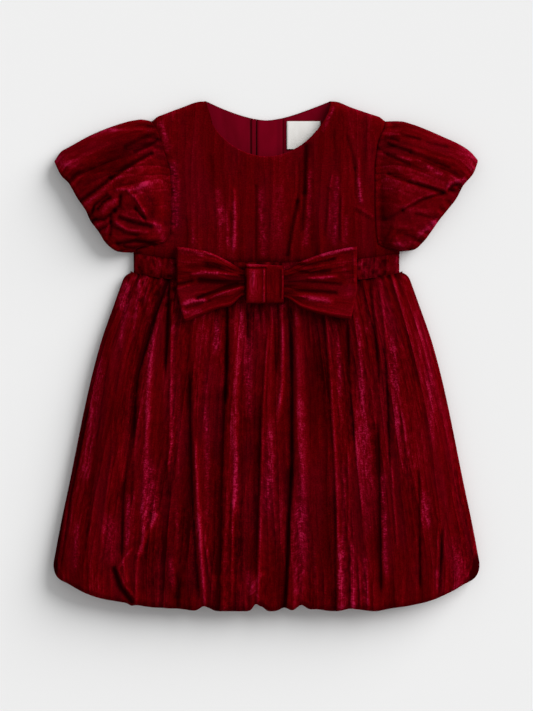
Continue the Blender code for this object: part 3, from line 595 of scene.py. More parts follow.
skirt = {
    "round": 44.0,
    "roundFrom": 0.3,     # the share of the length from which the sides are that round
    "full": 0.75,
    "lip": 11.0,
    "sideRoll": 3.0,
    "turnUp": 18.0,
    "length": 290,
    "crowding": 0.35,     # how far the columns crowd towards the sides
    "stages": (0.01, 0.88, 0.95),
    "overHem": 6,         # how far the folds run on round the hem
    "cornerStart": 100.0,
    "cornerSlope": 12.0,
    "cornerRound": 28.0,
    "columns": 380,
    "rows": 255,
    "backGrid": {"columns": 150, "rows": 120},
    "cloth": (480, 330),
    "flat": (0.48, 0.33),
    "area": 0.142,
    # width, length and seed of each grain
    "wrinkles": (8.0, 62.0, 11),
    "sway": (9, 30, 41),
    "gathers": (3.4, 40, 42),
    "bunching": (4.6, 60, 43),
    "puckers": (3.0, 5.0, 44),
    "finePuckers": (1.8, 2.6, 45),
    "wrinkleHeight": 0.55,
    "swayBy": 1.2,
    "gatherHeight": 1.5,
    "bunchHeight": 0.8,
    "puckerHeight": 0.8,
    # shares of the length that gathers and puckers reach down, and where bunching begins
    "gatherReach": 0.075,
    "puckerReach": 0.13,
    "bunchFrom": 0.88,
    # the puckers fall to this share across so much on either side of the middle
    "calm": 0.45,
    "calmHalf": 60,
    # how wide lines are on their left and right, and how square; a painted shade also has an edge
    "shapes": {
        "valleys": (1.2, 0.7, 1.3),
        "fades": (1.0, 1.0, 1.0, 0.9),
        "crests": (0.9, 1.1, 2.2),
        "crushed": (1.0, 1.0, 2.4),
    },
    # y and half the width there
    "sides": (
        (-186, 191.4), (-150, 184.6), (-116, 177.4), (-33, 160.4), (10, 149.4), (47, 136.6), (62, 131.2),
        (70, 128), (73.4, 124.4), (74.4, 120.4),
    ),
    # share of the length and height
    "heights": (
        (0, 8.6), (0.04, 10.8), (0.12, 13.6), (0.25, 17), (0.5, 18.6), (0.75, 19.8), (0.9, 22), (1, 23),
    ),
    # folds sunk into the cloth; a fold also gets painted shade along it
    "valleys": (
        (-20, -200, -157, -167, -176.5, -189, 1, 1.4), (72, -75, -87.5, -103.5, -116, -120.2, 3.2, 1.9),
        (-60, -188, -120.6, -126, -128.8, -129.8, 1.2, 1.3),
        (90, -25, -86.8, -88.4, -89.6, -91.4, 2.6, 1.4), (-12, -225, -69.4, -68.2, -65.2, -60, 1.8, 1.3),
        (52, -48, -35.8, -35.6, -36.2, -37.6, 4.6, 1.5), (-35, -245, -37.6, -40.2, -41.8, -43.4, 1.3, 1.8),
        (52, 4, -17.2, -17.4, -17.2, -17, 3.2, 1.3), (25, -245, -1.2, -5.6, -8, -10.4, 0.9, 1.4),
        (60, -25, 9.6, 10.4, 10, 8, 1.4, 1.4), (50, -115, 20.4, 21.7, 22.2, 22.6, 3, 1.9),
        (-95, -245, 22.2, 19.8, 17.8, 14.6, 4.4, 1.3), (42, -245, 50.2, 57, 61.2, 61.6, 0.6, 1.4),
        (35, -78, 72, 73, 75.4, 78.6, 1.2, 1.5), (70, -30, 91.6, 95, 99, 100.4, 2, 1.6),
        (-40, -215, 98.6, 100.6, 101.4, 102.4, 1.4, 1.6), (15, -105, 105, 107.4, 109.2, 111, 1.8, 1.4),
        (-95, -212, 136, 136.4, 136.8, 137, 1.2, 1.3), (-148, -220, 157.4, 156.2, 155, 153.6, 1.4, 1),
        (72, -10, -106, -112, -119, -128, 1.2, 1.8), (70, 0, -118, -126, -134, -142, 1.1, 1.8),
        (-198, -245, -79, -79.8, -80, -80, 2.4, 2.4), (-202, -245, -16, -16.4, -16, -15, 2.6, 2),
    ),
    # painted shade only: each line darkens over its half width to its left and ends crisply on its right
    "fades": (
        (10, -50, -149, -153, -156, -159.6, 0.4, 1.4), (-40, -142, -158, -165, -171.6, -178.4, 0.9, 1.8),
        (-132, -200, -180.6, -184, -186.8, -189.8, 0.9, 1.6),
        (-126, -198, -174.8, -178.6, -182, -185.6, 0.5, 0.8),
        (-36, -138, -116, -118, -119.4, -120, 0.24, 13), (-10, -110, -131.6, -135, -137.4, -139, 0.26, 1.6),
        (0, -100, -141, -146, -150.6, -154.6, 0.26, 1.6),
        (70, -78, -87.4, -104.4, -116.8, -120.6, 0.95, 2.6),
        (90, -15, -85.6, -87.2, -88.6, -90.4, 0.6, 1.7), (60, -10, -84, -85, -86, -88, 0.16, 9),
        (-36, -192, -80.8, -81.6, -82.2, -82.8, 0.16, 16), (-120, -205, -139, -142, -145, -148, 0.26, 1.8),
        (-104, -184, -127.4, -128.4, -129, -129.8, 0.85, 1.8),
        (-140, -245, -66, -64, -61.5, -58.5, 0.2, 26), (-156, -218, -89, -88.4, -86.6, -84.4, 0.24, 22),
        (-8, -220, -69, -67.8, -64.8, -59.6, 0.46, 5), (52, -45, -35.2, -35, -35.6, -37, 0.95, 2.4),
        (-25, -245, -37, -39.6, -41.2, -42.8, 0.52, 8), (-28, -200, -3.8, -6, -7.4, -9.4, 0.3, 13),
        (-116, -210, -7.6, -8.2, -8.8, -9.6, 0.22, 12), (-134, -250, -23, -22, -21, -20, 0.36, 15),
        (54, 0, -12, -11.6, -11.6, -12, 0.45, 4), (50, 16, -6.4, -5.6, -5, -4.6, 0.5, 1),
        (26, -34, -1.2, -2.8, -4, -5, 0.2, 12), (-166, -238, 15.8, 14.8, 13.6, 12.4, 0.18, 12),
        (66, 12, 71, 75, 78, 80, 0.18, 12), (50, 22, 0.8, 1.4, 1.8, 2, 0.4, 1),
        (50, -20, 7.4, 8, 8.4, 8.8, 0.5, 1.4), (52, -115, 23, 23.4, 23.4, 23.4, 0.5, 5),
        (-95, -245, 22.8, 20.4, 18.4, 15.2, 0.95, 2.4), (42, -245, 50.8, 57.6, 61.8, 62.2, 0.38, 12),
        (45, -82, 73.2, 74, 76.4, 79.4, 0.36, 5), (-60, -215, 99.6, 101.2, 102, 102.6, 0.7, 2.4),
        (-52, -190, 98.8, 100.8, 101.6, 102.2, 0.16, 14),
        (-95, -212, 136.4, 136.8, 137.2, 137.4, 0.42, 1.8), (-150, -220, 157.4, 156.2, 155, 153.6, 0.55, 1),
        (-84, -206, 176, 180, 184, 188, 0.17, 16), (18, -100, 105.4, 107.8, 109.6, 111.4, 0.3, 2.5),
    ),
    # raised lines that also get painted highlight along them
    "crests": (
        (24, -114, -147, -155, -159.6, -167, 0.8, 1.5), (62, -172, -93, -105, -108.4, -111.2, 0.9, 2.1),
        (60, -112, -84.2, -85.6, -86.2, -88.4, 1.1, 1.2), (-70, -238, -64.2, -62, -58.4, -54, 1.6, 1.6),
        (-154, -208, -56.2, -54, -51.6, -49.4, 1.4, 1), (50, -92, -27.6, -28.2, -28.8, -30.4, 1, 3.3),
        (-62, -150, -29, -28.4, -28.6, -29.4, 0.6, 2.2), (-122, -228, -29.6, -30.8, -31, -31.4, 1, 1.3),
        (26, -240, 1.4, -3.6, -5.8, -8.6, 1.2, 1.1), (50, 12, 4.2, 4.6, 5, 5.2, 0.7, 1.1),
        (50, -54, 12.2, 14, 13.6, 10.2, 1.5, 1.8), (48, -142, 27, 28.4, 30.2, 33.4, 0.75, 2.9),
        (-196, -240, 25, 24.6, 24.4, 24, 0.6, 2), (42, 4, 37.4, 38.4, 39.2, 39.8, 0.9, 0.9),
        (46, -240, 52.4, 59.2, 63.2, 63.8, 1, 1.2), (-80, -178, 72.4, 73.6, 73.4, 72.6, 1.1, 0.8),
        (-58, -148, 78.4, 81, 83.6, 86, 0.7, 0.8), (-158, -244, 66, 65.8, 65.6, 65.8, 1.1, 1.5),
        (-160, -244, 75.4, 75.6, 76, 76.6, 1.2, 1.3), (-176, -244, 82, 83, 84, 84.4, 1.4, 1.1),
        (-184, -240, 88.6, 90, 91, 92, 0.8, 0.9), (68, 26, 81.6, 84.4, 86.6, 89.6, 0.8, 1.3),
        (66, -18, 94.6, 97.4, 100.6, 103.4, 0.9, 1.6), (64, -2, 100.8, 104, 106.4, 108.2, 0.7, 1.4),
        (-68, -178, 109.2, 112, 114.6, 117.2, 1, 0.8), (46, -28, 132.6, 135.4, 137.2, 138.6, 0.6, 1.9),
        (-146, -218, 153.8, 152.8, 152, 151.4, 0.8, 1), (-146, -218, 160.2, 159, 157.8, 156.4, 0.6, 0.9),
        (-48, -108, -136.4, -138, -138.8, -139.2, 0.6, 0.9),
        (-82, -174, -137.2, -141.6, -145.4, -149.6, 0.9, 1.3),
        (-116, -168, -172.4, -174, -175.6, -177.6, 0.7, 0.7),
        (-138, -202, -178.6, -181.4, -184, -187, 0.6, 0.7),
    ),
    "crushed": (
        (2, -118, -147, -152, -157, -163, 0.5, 4), (66, 6, -113, -116.4, -118.6, -121, 0.7, 1.5),
        (70, 0, -123, -126.6, -129.4, -132, 0.6, 2.2), (-118, -184, -123.6, -124, -124.4, -127, 0.8, 2.2),
        (-136, -192, -141, -141, -140.6, -139.6, 0.6, 7),
        (-142, -198, -169.4, -170, -170.4, -171, 0.7, 2.6),
        (36, -112, -101, -104.6, -106.4, -107.6, 0.55, 3), (74, 34, -124, -126.4, -128.6, -131, 0.9, 5.4),
        (-112, -178, -118.6, -119, -119.6, -120.4, 0.6, 1.2),
        (-88, -160, -104, -104, -103.6, -105, 0.75, 7.6),
        (-124, -186, -111, -111.6, -111.4, -111, 0.6, 1.4), (40, -112, -82.6, -83.6, -84.4, -86, 0.5, 2),
        (-10, -120, -78, -78.4, -78.6, -79, 0.4, 1.4), (-120, -175, -79.6, -80.4, -79.6, -78.6, 0.5, 1.2),
        (-176, -214, -86.4, -85.6, -84.4, -83, 1, 2.2), (-12, -155, -55.6, -53.8, -53, -52, 0.7, 2.6),
        (42, -2, -43.4, -44.4, -45, -45.6, 1.1, 2.9), (-92, -210, -36.6, -36.4, -36.2, -36, 0.22, 2.2),
        (48, 18, -9.4, -8.4, -7.8, -7.4, 0.9, 1.2), (48, 12, -3.6, -2.6, -1.6, -0.8, 0.8, 1),
        (-74, -142, -27.4, -27.4, -28, -28.6, 1.1, 2), (46, 8, -24, -22.6, -22, -22, 0.8, 1.8),
        (24, -62, -15, -16.2, -16, -14.6, 0.7, 3.6), (-52, -150, 2.6, 2.4, 1.4, 0, 0.8, 5),
        (-186, -224, -16, -14.6, -12, -10, 0.55, 3.8), (-30, -235, 31, 32.4, 31.4, 27, 0.5, 4.6),
        (-126, -206, 32.4, 30, 29, 28, 0.45, 8.4), (-150, -238, 66, 66.4, 67, 68, 0.65, 4.2),
        (-160, -238, 76, 76.4, 77, 77.6, 0.6, 2.2), (-160, -215, 42, 42.6, 43.4, 44, 0.6, 1.2),
        (38, -44, 60.2, 64, 65.6, 66, 0.7, 2.2), (-90, -190, 69, 69.6, 69, 68.6, 0.5, 1.6),
        (42, -62, 80.8, 83.6, 84.8, 86.4, 0.75, 2.2), (-20, -92, 84, 85.4, 86.4, 87.4, 0.36, 3.4),
        (-56, -134, 87.4, 88.8, 90.2, 91.8, 0.42, 7.8), (-122, -168, 88.4, 90.4, 91.6, 92.6, 0.28, 4),
        (-98, -206, 103.6, 104.8, 105.6, 107.6, 1, 2.6), (-170, -240, 87.6, 88, 88.4, 89, 0.6, 2.6),
        (24, -74, 111.6, 114.6, 116.2, 117.8, 0.55, 2.5), (62, -34, 103, 108, 112, 115, 0.34, 6.6),
        (62, 12, 88, 90, 92, 94, 0.28, 6), (16, -68, -150, -153.4, -156.6, -160, 0.24, 7),
        (-48, -136, 117.4, 122, 126, 129.4, 0.18, 4.8), (-2, -84, 144.4, 146, 147.4, 148.6, 0.6, 2.8),
        (-116, -162, 141.4, 142.4, 143, 143.4, 0.6, 5), (-156, -210, 168, 170, 172.6, 174, 0.52, 7.6),
        (-184, -222, 153, 154.4, 156, 157.6, 0.5, 3.8),
    ),
    "bands": (
        (-99, -143, -108, -160, -114.8, -178, 1.7, 2.2), (-114.8, -178, -116.8, -196, -117, -214, 1, 1.3),
        (-132.6, -190, -127.6, -182, -121.6, -174, 1.3, 1.5),
        (-128, -184, -127.2, -193, -125.8, -202, 1.2, 1.5),
        (-132.6, -192, -126.8, -206, -117, -217.6, 1.2, 1.2),
        (-187, -181, -185.6, -190, -181.6, -198, 0.7, 1.2), (185, -180, 183, -189, 179.4, -198, 0.9, 1.1),
        (-4, -196, -10, -203, -16, -213, 0.9, 2),
    ),
    "hem": (
        (-136.6, -191, -131.8, -206, -121, -220, 3, 2.3), (-80, -196, -78.6, -206, -81, -216, 1, 2),
        (190.6, -182, 188.4, -192, 184.4, -202, 4.4, 3.6),
        (-190.8, -178, -189.8, -187, -188.4, -195, 2.2, 1.8),
    ),
    # x, depth and half width
    "notches": (
        (-190, -3.8, 7), (-122, 3, 24), (-95, 2.2, 14), (-121, -1.6, 3), (-77, 1.6, 10), (-50, 1.2, 3.6),
        (-56, 4.4, 5), (-9.4, 6.4, 3.6), (-3.8, 3.4, 3.2), (16, 3.2, 5), (31, 5.4, 5.2), (44, 1.8, 9),
        (75, 2.2, 7), (112, 0.8, 10), (85, 1, 6), (146, -0.7, 14), (190, -3.6, 7.5),
    ),
}


Plan = namedtuple("Plan", "s t turn tuck share inner half y turned")


def hemLine(x):
    out = limit((np.abs(x) - skirt["cornerStart"]) / (dress["halfWidth"] - skirt["cornerStart"]))
    climb = skirt["cornerSlope"] * out + skirt["cornerRound"] * (1 - np.sqrt(1 - out * out))
    notched = sum(depth * bell(x - at, half) for at, depth, half in skirt["notches"])
    return -dress["halfLength"] + climb + notched


def skirtPlan(u, v, front):
    # down the outside, half a turn at the hem, then back up inside
    even = 2 * u - 1
    s = mix(even, np.sin(even * pi / 2), skirt["crowding"])
    tuck, t, turn, back = stages(1 - v, skirt["stages"])
    hemX = s * dress["halfWidth"]
    inset = dress["halfWidth"] - np.abs(hemX)
    full = rise(inset / skirt["round"])
    inner = mix(dress["frontEdge"], skirt["lip"], full)
    if front:
        roll = mix(skirt["sideRoll"], (skirt["heights"][-1][1] - inner) / 2, full)
    else:
        roll = mix(skirt["sideRoll"], dress["backEdge"] / 2, rise(inset / dress["backRound"]))
    y = mix(waistLine(s * band["half"]) - halfGap, hemLine(hemX) + roll, t)
    half = follow(skirt["sides"], y)
    share = (1 - np.cos(turn)) / 2
    drawn = hemX - np.sign(hemX) * 2 * skirt["sideRoll"] * (1 - ease(inset / skirt["round"]))
    turned = Place(mix(s * half, drawn, share), y - roll * np.sin(turn) + back * skirt["turnUp"])
    return Plan(s, t, turn, tuck, share, inner, half, y, turned)


def skirtFront(u, v):
    s, t, turn, tuck, share, inner, half, y, turned = skirtPlan(u, v, True)
    x = s * half
    inset = half - np.abs(x)
    puff = rise(inset / mix(band["round"], skirt["round"], ease(t / skirt["roundFrom"]))) ** skirt["full"]
    lines = y - skirt["overHem"] * ease(turn)
    valleys, fades, crests, crushed = (
        runsOf(skirt[table], x, lines, *shape) for table, shape in skirt["shapes"].items()
    )
    crests += creasesOf(skirt["bands"], x, y, 2.0)
    hems = creasesOf(skirt["hem"], x, lines)
    gatherX = s * band["half"] + skirt["swayBy"] * noise(x, y, skirt["sway"])
    gathers = noise(gatherX, y, skirt["gathers"]) * np.exp(-((t / skirt["gatherReach"]) ** 1.3))
    gathers *= skirt["gatherHeight"]
    bunching = noise(s * dress["halfWidth"], y, skirt["bunching"]) * skirt["bunchHeight"]
    bunching *= ease((t - skirt["bunchFrom"]) / (1 - skirt["bunchFrom"]))
    calm = mix(1.0, skirt["calm"], ease((x / skirt["calmHalf"] + 1) / 2))
    pucker = noise(gatherX, y, skirt["puckers"]) + 0.5 * noise(x, y, skirt["finePuckers"])
    pucker *= calm * bell(t, skirt["puckerReach"])
    relief = gathers + bunching + skirt["puckerHeight"] * pucker + crests
    relief += wrinkles(x, y, skirt["wrinkleHeight"], skirt["wrinkles"])
    z = dress["frontEdge"] + (follow(skirt["heights"], t) - dress["frontEdge"] + relief) * puff
    z -= (valleys + hems) * np.sqrt(puff)
    z -= seamDip(t * skirt["length"]) + dress["tuckDown"] * tuck
    z = atSide(s, z, 1)
    # the sides flatten as they go into the turn
    flat = dress["frontEdge"] + (z - dress["frontEdge"]) * ease(inset / skirt["sideRoll"] + 0.2)
    z = mix(np.where(t < 1, z, flat), inner, share)
    # painted shade in folds, along the hem, beside the waist seam and in gathers and puckers, less on the
    # inside of the hem; painted highlight on crests and raised gathers
    paintedShade = valleys / 11 + 1.3 * fades + hems / 4 + 0.36 * seamShade(t * skirt["length"])
    paintedShade += 0.3 * limit(-gathers, 2) + 0.2 * limit(-bunching, 2) + 0.6 * limit(-pucker - 0.1)
    paintedHighlight = crests / 1.6 + 0.25 * limit(gathers, 2)
    crushed += 0.8 * limit(pucker)
    outside = 1 - share
    y = turned.y + dress["tuck"] * tuck
    return turned.x, y, z, paintedShade * mix(0.7, 1.0, outside), paintedHighlight * outside, crushed * outside


def skirtBack(u, v):
    plan = skirtPlan(u, v, False)
    z = atSide(plan.s, backHeight(plan.half * (1 - np.abs(plan.s))), -1)
    return *plan.turned, mix(z, dress["backEdge"], plan.share), 0.0, 0.0, 0.0


def makeSkirt():
    front = makeSheet("skirtFront", skirt, skirtFront)
    dressPiece(front, "skirt_front", "skirt")
    back = makeSheet("skirtBack", {**skirt, **skirt["backGrid"]}, skirtBack, facing=-1)
    dressPiece(back, "skirt_back", "skirt")
    print("skirt made")


# bodice

bodice = {
    "neckHalf": 54.6,
    "neckDrop": 49.8,
    "neckPower": 1.85,
    "frontNeckStart": 228.4,
    "backNeckDrop": 17.5,
    "backNeckPower": 1.6,
    "pointFall": 0.2,
    "pointRound": 1.7,
    "shoulderOut": 103.4,
    "shoulderFall": 18.6,
    "shoulderCrown": 2.2,
    "shoulderRound": 11.0,
    "shoulderShare": 6 / 22,
    "neckClimb": 1.3,     # how steeply the shoulder line would run on over the neck
    # what is drawn out on the right: at what x, how far, half width, from what y and over how much
    "drawnOut": (("neckHalf", 2.8, 13, 195, 30), ("shoulderOut", 3.6, 14, 188, 20)),
    "openingX": -11.6,
    "stages": (0.015, 0.93, 0.98),
    "backStages": (0.0, 0.93, 0.98),
    "edgeRoll": 1.6,
    "edgeTurn": 7.0,
    "backRoll": 1.1,
    "backTurn": 4.0,
    "seamDown": 1.2,      # how far a shoulder's edge goes down into its seam
    "sideLength": 230,    # from armhole to armhole
    "neckLength": 95,     # from the waistband to the neck
    "columns": 220,
    "rows": 180,
    "backGrid": {"columns": 70, "rows": 110},
    "flat": (0.250, 0.160),
    "area": 0.0290,
    # cut and area of each side of the back
    "backs": {"left": ((0.115, 0.155), 0.0135), "right": ((0.138, 0.155), 0.0175)},
    "wrinkles": (8.0, 34.0, 21),
    "wrinkleHeight": 0.34,
    "gathers": (3.6, 30, 24),
    "gatherHeight": 0.55,
    "gatherReach": 9,
    "puckers": (5.0, 2.8, 27),
    "puckerReach": 7,
    "puckerTop": 192,     # the puckers fade out below this, over so much
    "puckerOver": 20,
    "neckSheen": 0.55,      # how much painted sheen lies along the rolled edge of the neck and along the shoulder seams
    "shoulderSheen": 0.40,
    "sheenReach": 1.6,
    "bandLine": 1.1,      # how far the painted shade above the waistband reaches
    # y above the middle of the waistband and height
    "heights": ((84, 8.6), (97, 10.6), (125, 12), (180, 11.4), (229, 10)),
    "creases": (
        (35.4, 188, 34.6, 168, 33.8, 146, 1.7, 2.3), (33.8, 146, 33, 134, 31.6, 112, 0.8, 1.6),
        (28.6, 176, 29.4, 158, 27.4, 136, 0.7, 1.1), (27.4, 138, 23, 116, 18.6, 90, 1.5, 2.1),
        (-9.6, 152, -9.4, 124, -9.8, 86, 0.9, 1.1), (-32.6, 128, -32, 118, -33.2, 100, 0.5, 1.2),
        (-72, 122, -71, 110, -71, 100, 0.4, 1.6), (-51, 178, -49, 168, -49, 150, 0.4, 2.4),
        (59.6, 200, 61, 186, 61, 168, 0.5, 2), (72, 196, 76, 182, 79, 168, 0.8, 1.8),
        (79, 168, 79.4, 156, 80, 142, 0.7, 1), (54.4, 150, 53.8, 132, 52, 108, 0.5, 1.4),
        (65.8, 140, 65, 124, 65, 104, 0.6, 0.9), (80, 130, 87, 125.4, 95, 121.4, 0.5, 1.6),
    ),
    "ridges": (
        (37.8, 176, 37.4, 150, 35.6, 128, 0.5, 1.5), (27.8, 128, 24.6, 112, 21.6, 94, 0.5, 1.6),
        (-29.6, 148, -28.4, 124, -29.8, 98, 0.9, 1.6), (-34, 164, -33.4, 150, -33, 134, 0.3, 1.2),
        (58.6, 161, 57.8, 156, 57, 151, 0.9, 1), (56.4, 146, 56, 130, 54, 112, 0.4, 0.9),
        (68.4, 143, 67.6, 125, 67.6, 103, 0.5, 0.9), (82.2, 176, 82.6, 156, 84.8, 138, 0.7, 1.2),
        (82, 133, 89, 128.4, 96, 124.6, 0.5, 1.1),
    ),
    "crushed": (
        (39, 164, 38.4, 132, 35, 100, 0.8, 2.4), (-44, 146, -42.8, 133, -41, 118, 0.55, 4.2),
        (-38, 136, -36, 122, -34, 100, 0.4, 2.6), (-29, 136, -28.4, 118, -29, 96, 0.5, 2.4),
        (-5.6, 146, -3.8, 122, -2.4, 92, 0.8, 3.6), (63.6, 158, 62.4, 130, 61, 101, 0.8, 2.4),
        (58.4, 136, 57, 120, 56, 106, 0.5, 1.6), (71.6, 124, 71, 112, 70.4, 101, 0.6, 2.2),
        (83.6, 158, 84, 148, 85, 138, 1, 2), (-95, 207, -91.6, 197, -88.6, 186, 0.8, 2.8),
        (-84, 170, -82.4, 146, -81.6, 118, 1.1, 4.2), (50.6, 203, 53.6, 212, 57.4, 222, 0.9, 1.8),
        (-66.6, 112, -65.6, 104, -65, 96, 0.6, 2.2), (10, 150, 11, 130, 11, 105, 0.3, 4),
    ),
}

armholes = {
    "left": (
        (-119.2, 92.5), (-116, 95), (-104, 98.6), (-90, 102.6), (-86.4, 112), (-86.2, 140), (-87.2, 164),
        (-92.4, 183.2), (-97.6, 200), (-103.4, 210.4),
    ),
    "right": (
        (119.2, 92.5), (116, 94.6), (109, 96.4), (100.6, 100), (98.4, 112), (97.4, 140), (97.6, 171),
        (99.3, 185), (101.2, 198.4), (103.4, 210.4),
    ),
}


def neckPoint(x):
    # the rounded tip where shoulder and neckline meet
    return bodice["pointFall"] * bell(np.abs(x) - bodice["neckHalf"], bodice["pointRound"])


def drawnOut(x, y):
    # the right neck point and shoulder seam lie a little further out than the left ones
    return x + sum(
        shift * bell(x - bodice[place], half) * ease((y - low) / over)
        for place, shift, half, low, over in bodice["drawnOut"]
    )


def shoulderLine(x):
    out = np.abs(x)
    share = (out - bodice["neckHalf"]) / (bodice["shoulderOut"] - bodice["neckHalf"])
    crown = bodice["shoulderCrown"] * ease((share - 0.15) / 0.5) * ease((1 - share) / 0.12)
    sloped = crown - bodice["shoulderFall"] * share
    inward = bodice["neckClimb"] * (bodice["neckHalf"] - out)
    return dress["halfLength"] + np.where(out < bodice["neckHalf"], inward, sloped) - neckPoint(x)


def bodiceHeight(x, y):
    full = follow(bodice["heights"], y - bandTop(x) + band["top"])
    overShoulder = rise((shoulderLine(x) - y) / bodice["shoulderRound"])
    overSide = rise((band["half"] - np.abs(x)) / band["round"])
    return dress["frontEdge"] + (full - dress["frontEdge"]) * overShoulder * overSide


def neckFront(share):
    x = -bodice["neckHalf"] * np.cos(pi * share)
    power = bodice["neckPower"]
    drop = limit(1 - np.abs(x / bodice["neckHalf"]) ** power) ** (1 / power)
    return Place(x, bodice["frontNeckStart"] - bodice["neckDrop"] * drop)


def neckBack(x):
    share = limit(np.abs(x / bodice["neckHalf"]))
    drop = bodice["backNeckDrop"] * (1 - share ** bodice["backNeckPower"])
    return dress["halfLength"] - drop - neckPoint(x)


def frontTop(u):
    shoulder = bodice["shoulderShare"]
    near = fromEnds(u)
    out = mix(-bodice["shoulderOut"], -bodice["neckHalf"], limit(near / shoulder))
    high = mix(shoulderLine(out), neckFront(0.0).y, ease(near / shoulder) ** 4)
    neck = neckFront(limit((u - shoulder) / (1 - 2 * shoulder)))
    onShoulder = near < shoulder
    out = np.where(u < 0.5, out, -out)
    return Place(np.where(onShoulder, out, neck.x), np.where(onShoulder, high, neck.y))


def bandEdge(start, end):
    # the bodice's lower edge from one x to another
    def low(share):
        x = mix(start, end, share)
        return Place(x, bandTop(x) + halfGap)

    return low


def neckEdge(t, turn):
    # how far a turned edge has still to draw in
    return (1 - np.sin(np.clip(turn, 0, pi / 2))) * (t >= 1)


def bodiceFront(u, v):
    tuck, t, turn, under = stages(v, bodice["stages"])
    near = fromEnds(u)
    low = bandEdge(-band["half"], band["half"])
    x, y = patch(partial(trace, armholes["left"]), partial(trace, armholes["right"]), low, frontTop, u, t)
    creases, ridges = creasesOf(bodice["creases"], x, y), creasesOf(bodice["ridges"], x, y)
    above = y - bandTop(x)
    fromSide = near * bodice["sideLength"]
    gathers = bodice["gatherHeight"] * noise(x, y, bodice["gathers"]) * fade(above, bodice["gatherReach"])
    beside = np.clip(x - trace(armholes["left"], t).x, 0, None)
    pucker = noise(x, y, bodice["puckers"]) * bell(beside, bodice["puckerReach"])
    pucker *= ease((bodice["puckerTop"] - y) / bodice["puckerOver"])
    z = bodiceHeight(x, y)
    fullness = limit((z - dress["frontEdge"]) / 4)
    relief = ridges - creases + wrinkles(x, y, bodice["wrinkleHeight"], bodice["wrinkles"])
    z += (relief * limit(near * 24) + gathers + pucker) * fullness
    z -= seamDip(above) + seamDip(fromSide)
    onNeck = (near > bodice["shoulderShare"]).astype(float)
    # at the neckline the cloth turns under; on the shoulders it dips into the seam
    roll = bodice["edgeRoll"] * onNeck
    y = y - roll * neckEdge(t, turn) - under * bodice["edgeTurn"] * onNeck - dress["tuck"] * tuck
    z -= roll * (1 - np.cos(turn)) / 2 + dress["tuckDown"] * tuck
    z -= (1 - onNeck) * bodice["seamDown"] * (turn > 0)
    # painted shade in creases, above the waistband, beside the armhole seams and in gathers and puckers;
    # painted highlight on ridges, raised gathers and puckers and as sheen along the neck and shoulder edges
    paintedShade = creases / 2.4 + 0.18 * fade(above, bodice["bandLine"]) + 0.22 * seamShade(fromSide)
    paintedShade += 0.3 * limit(-gathers) + 0.4 * limit(-pucker)
    rimSheen = fade((1 - t) * bodice["neckLength"], bodice["sheenReach"])
    rimSheen *= np.where(onNeck > 0, bodice["neckSheen"], bodice["shoulderSheen"])
    paintedHighlight = ridges / 1.3 + 0.2 * limit(gathers) + 0.3 * limit(pucker) + rimSheen
    return drawnOut(x, y), y, z, paintedShade, paintedHighlight, creasesOf(bodice["crushed"], x, y, 2.0)


def bodiceBack(side):
    opening = bodice["openingX"] + signs[side] * halfGap
    low = bandEdge(signs[side] * band["half"], opening)

    def high(share):
        x = mix(signs[side] * bodice["shoulderOut"], opening, share)
        return Place(x, np.where(np.abs(x) > bodice["neckHalf"], shoulderLine(x), neckBack(x)))

    def centre(share):
        return Place(opening + 0 * share, mix(low(1.0).y, neckBack(opening), share))

    def place(u, v):
        t, turn, under = stages(v, bodice["backStages"])[1:]
        x, y = patch(partial(trace, armholes[side]), centre, low, high, u, t)
        overShoulder = rise((shoulderLine(x) - y) / dress["backRound"])
        overSide = rise((band["half"] - np.abs(x)) / dress["backRound"])
        onNeck = ease((bodice["neckHalf"] - np.abs(x)) / 4)
        roll = bodice["backRoll"] * onNeck
        y = y - roll * neckEdge(t, turn) - under * bodice["backTurn"] * onNeck
        z = dress["backEdge"] * (1 - overShoulder * overSide) + roll * (1 - np.cos(turn))
        # the back gets a little painted highlight all over
        return drawnOut(x, y), y, z, 0.0, 0.15, 0.0

    return place


def makeBodice():
    front = makeSheet("bodiceFront", bodice, bodiceFront)
    dressPiece(front, "bodice_front", "bodice")
    plain = {**bodice, **bodice["backGrid"]}
    for side, (cut, area) in bodice["backs"].items():
        back = makeSheet(f"bodiceBack{side.title()}", plain, bodiceBack(side), facing=-1)
        dressPiece(back, f"bodice_back_{side}", "bodice")
    print("bodice made")


# sleeves

sleeves = {
    "columns": 260,
    "rows": 130,
    "cloth": (300, 120),
    "flat": (0.30, 0.12),
    "area": 0.024,
    "stages": (0.015, 0.86, 0.95),
    "seam": 0.45,
    "underarm": 0.75,
    "roll": 2.1,
    "rollFront": 1.2,
    "fullFrom": 0.14,     # shares of the way to the hem at which the puff and the folds have their height
    "foldsFrom": 0.1,
    "headTo": (0.24, 0.14),      # where the gathers of the head end on the way to the underarm
    "rumpledFrom": (0.35, 0.2),
    "lipFront": 10.0,
    "lipBack": 4.3,
    "turnUp": 10.0,
    "tuckAcross": 1.6,
    "tuckUnderarm": 2.0,
    "length": 90,
    "gathers": 13,
    # painted light: how much lighter each sleeve is painted, more on the right
    "paintedLight": {"left": 0.05, "right": 0.22},
    # share of the way to the hem and height
    "crown": ((0, 9.4), (0.12, 13.6), (0.35, 18.6), (0.7, 18.4), (1, 16.6)),
    "lean": {"left": radians(20), "right": radians(-17)},      # the way the upper folds run
    "streaks": {"left": (4.6, 34.0, 31), "right": (4.6, 34.0, 37)},
    "streakHeight": 0.55,
    "wrinkles": (8.0, 13.0, 39),
    "wrinkleHeight": 0.65,
    "pulled": (1 / 13, 1 / 1.6, 34),
    "pulledHeight": 0.9,
    "uneven": (1 / 9, 1 / 6, 33),
    # height, middle and half width of the gathers at the head, and where those at the hem begin
    "headGathers": (0.9, 0.07, 0.10),
    "hemGathers": (0.6, 0.86),
}

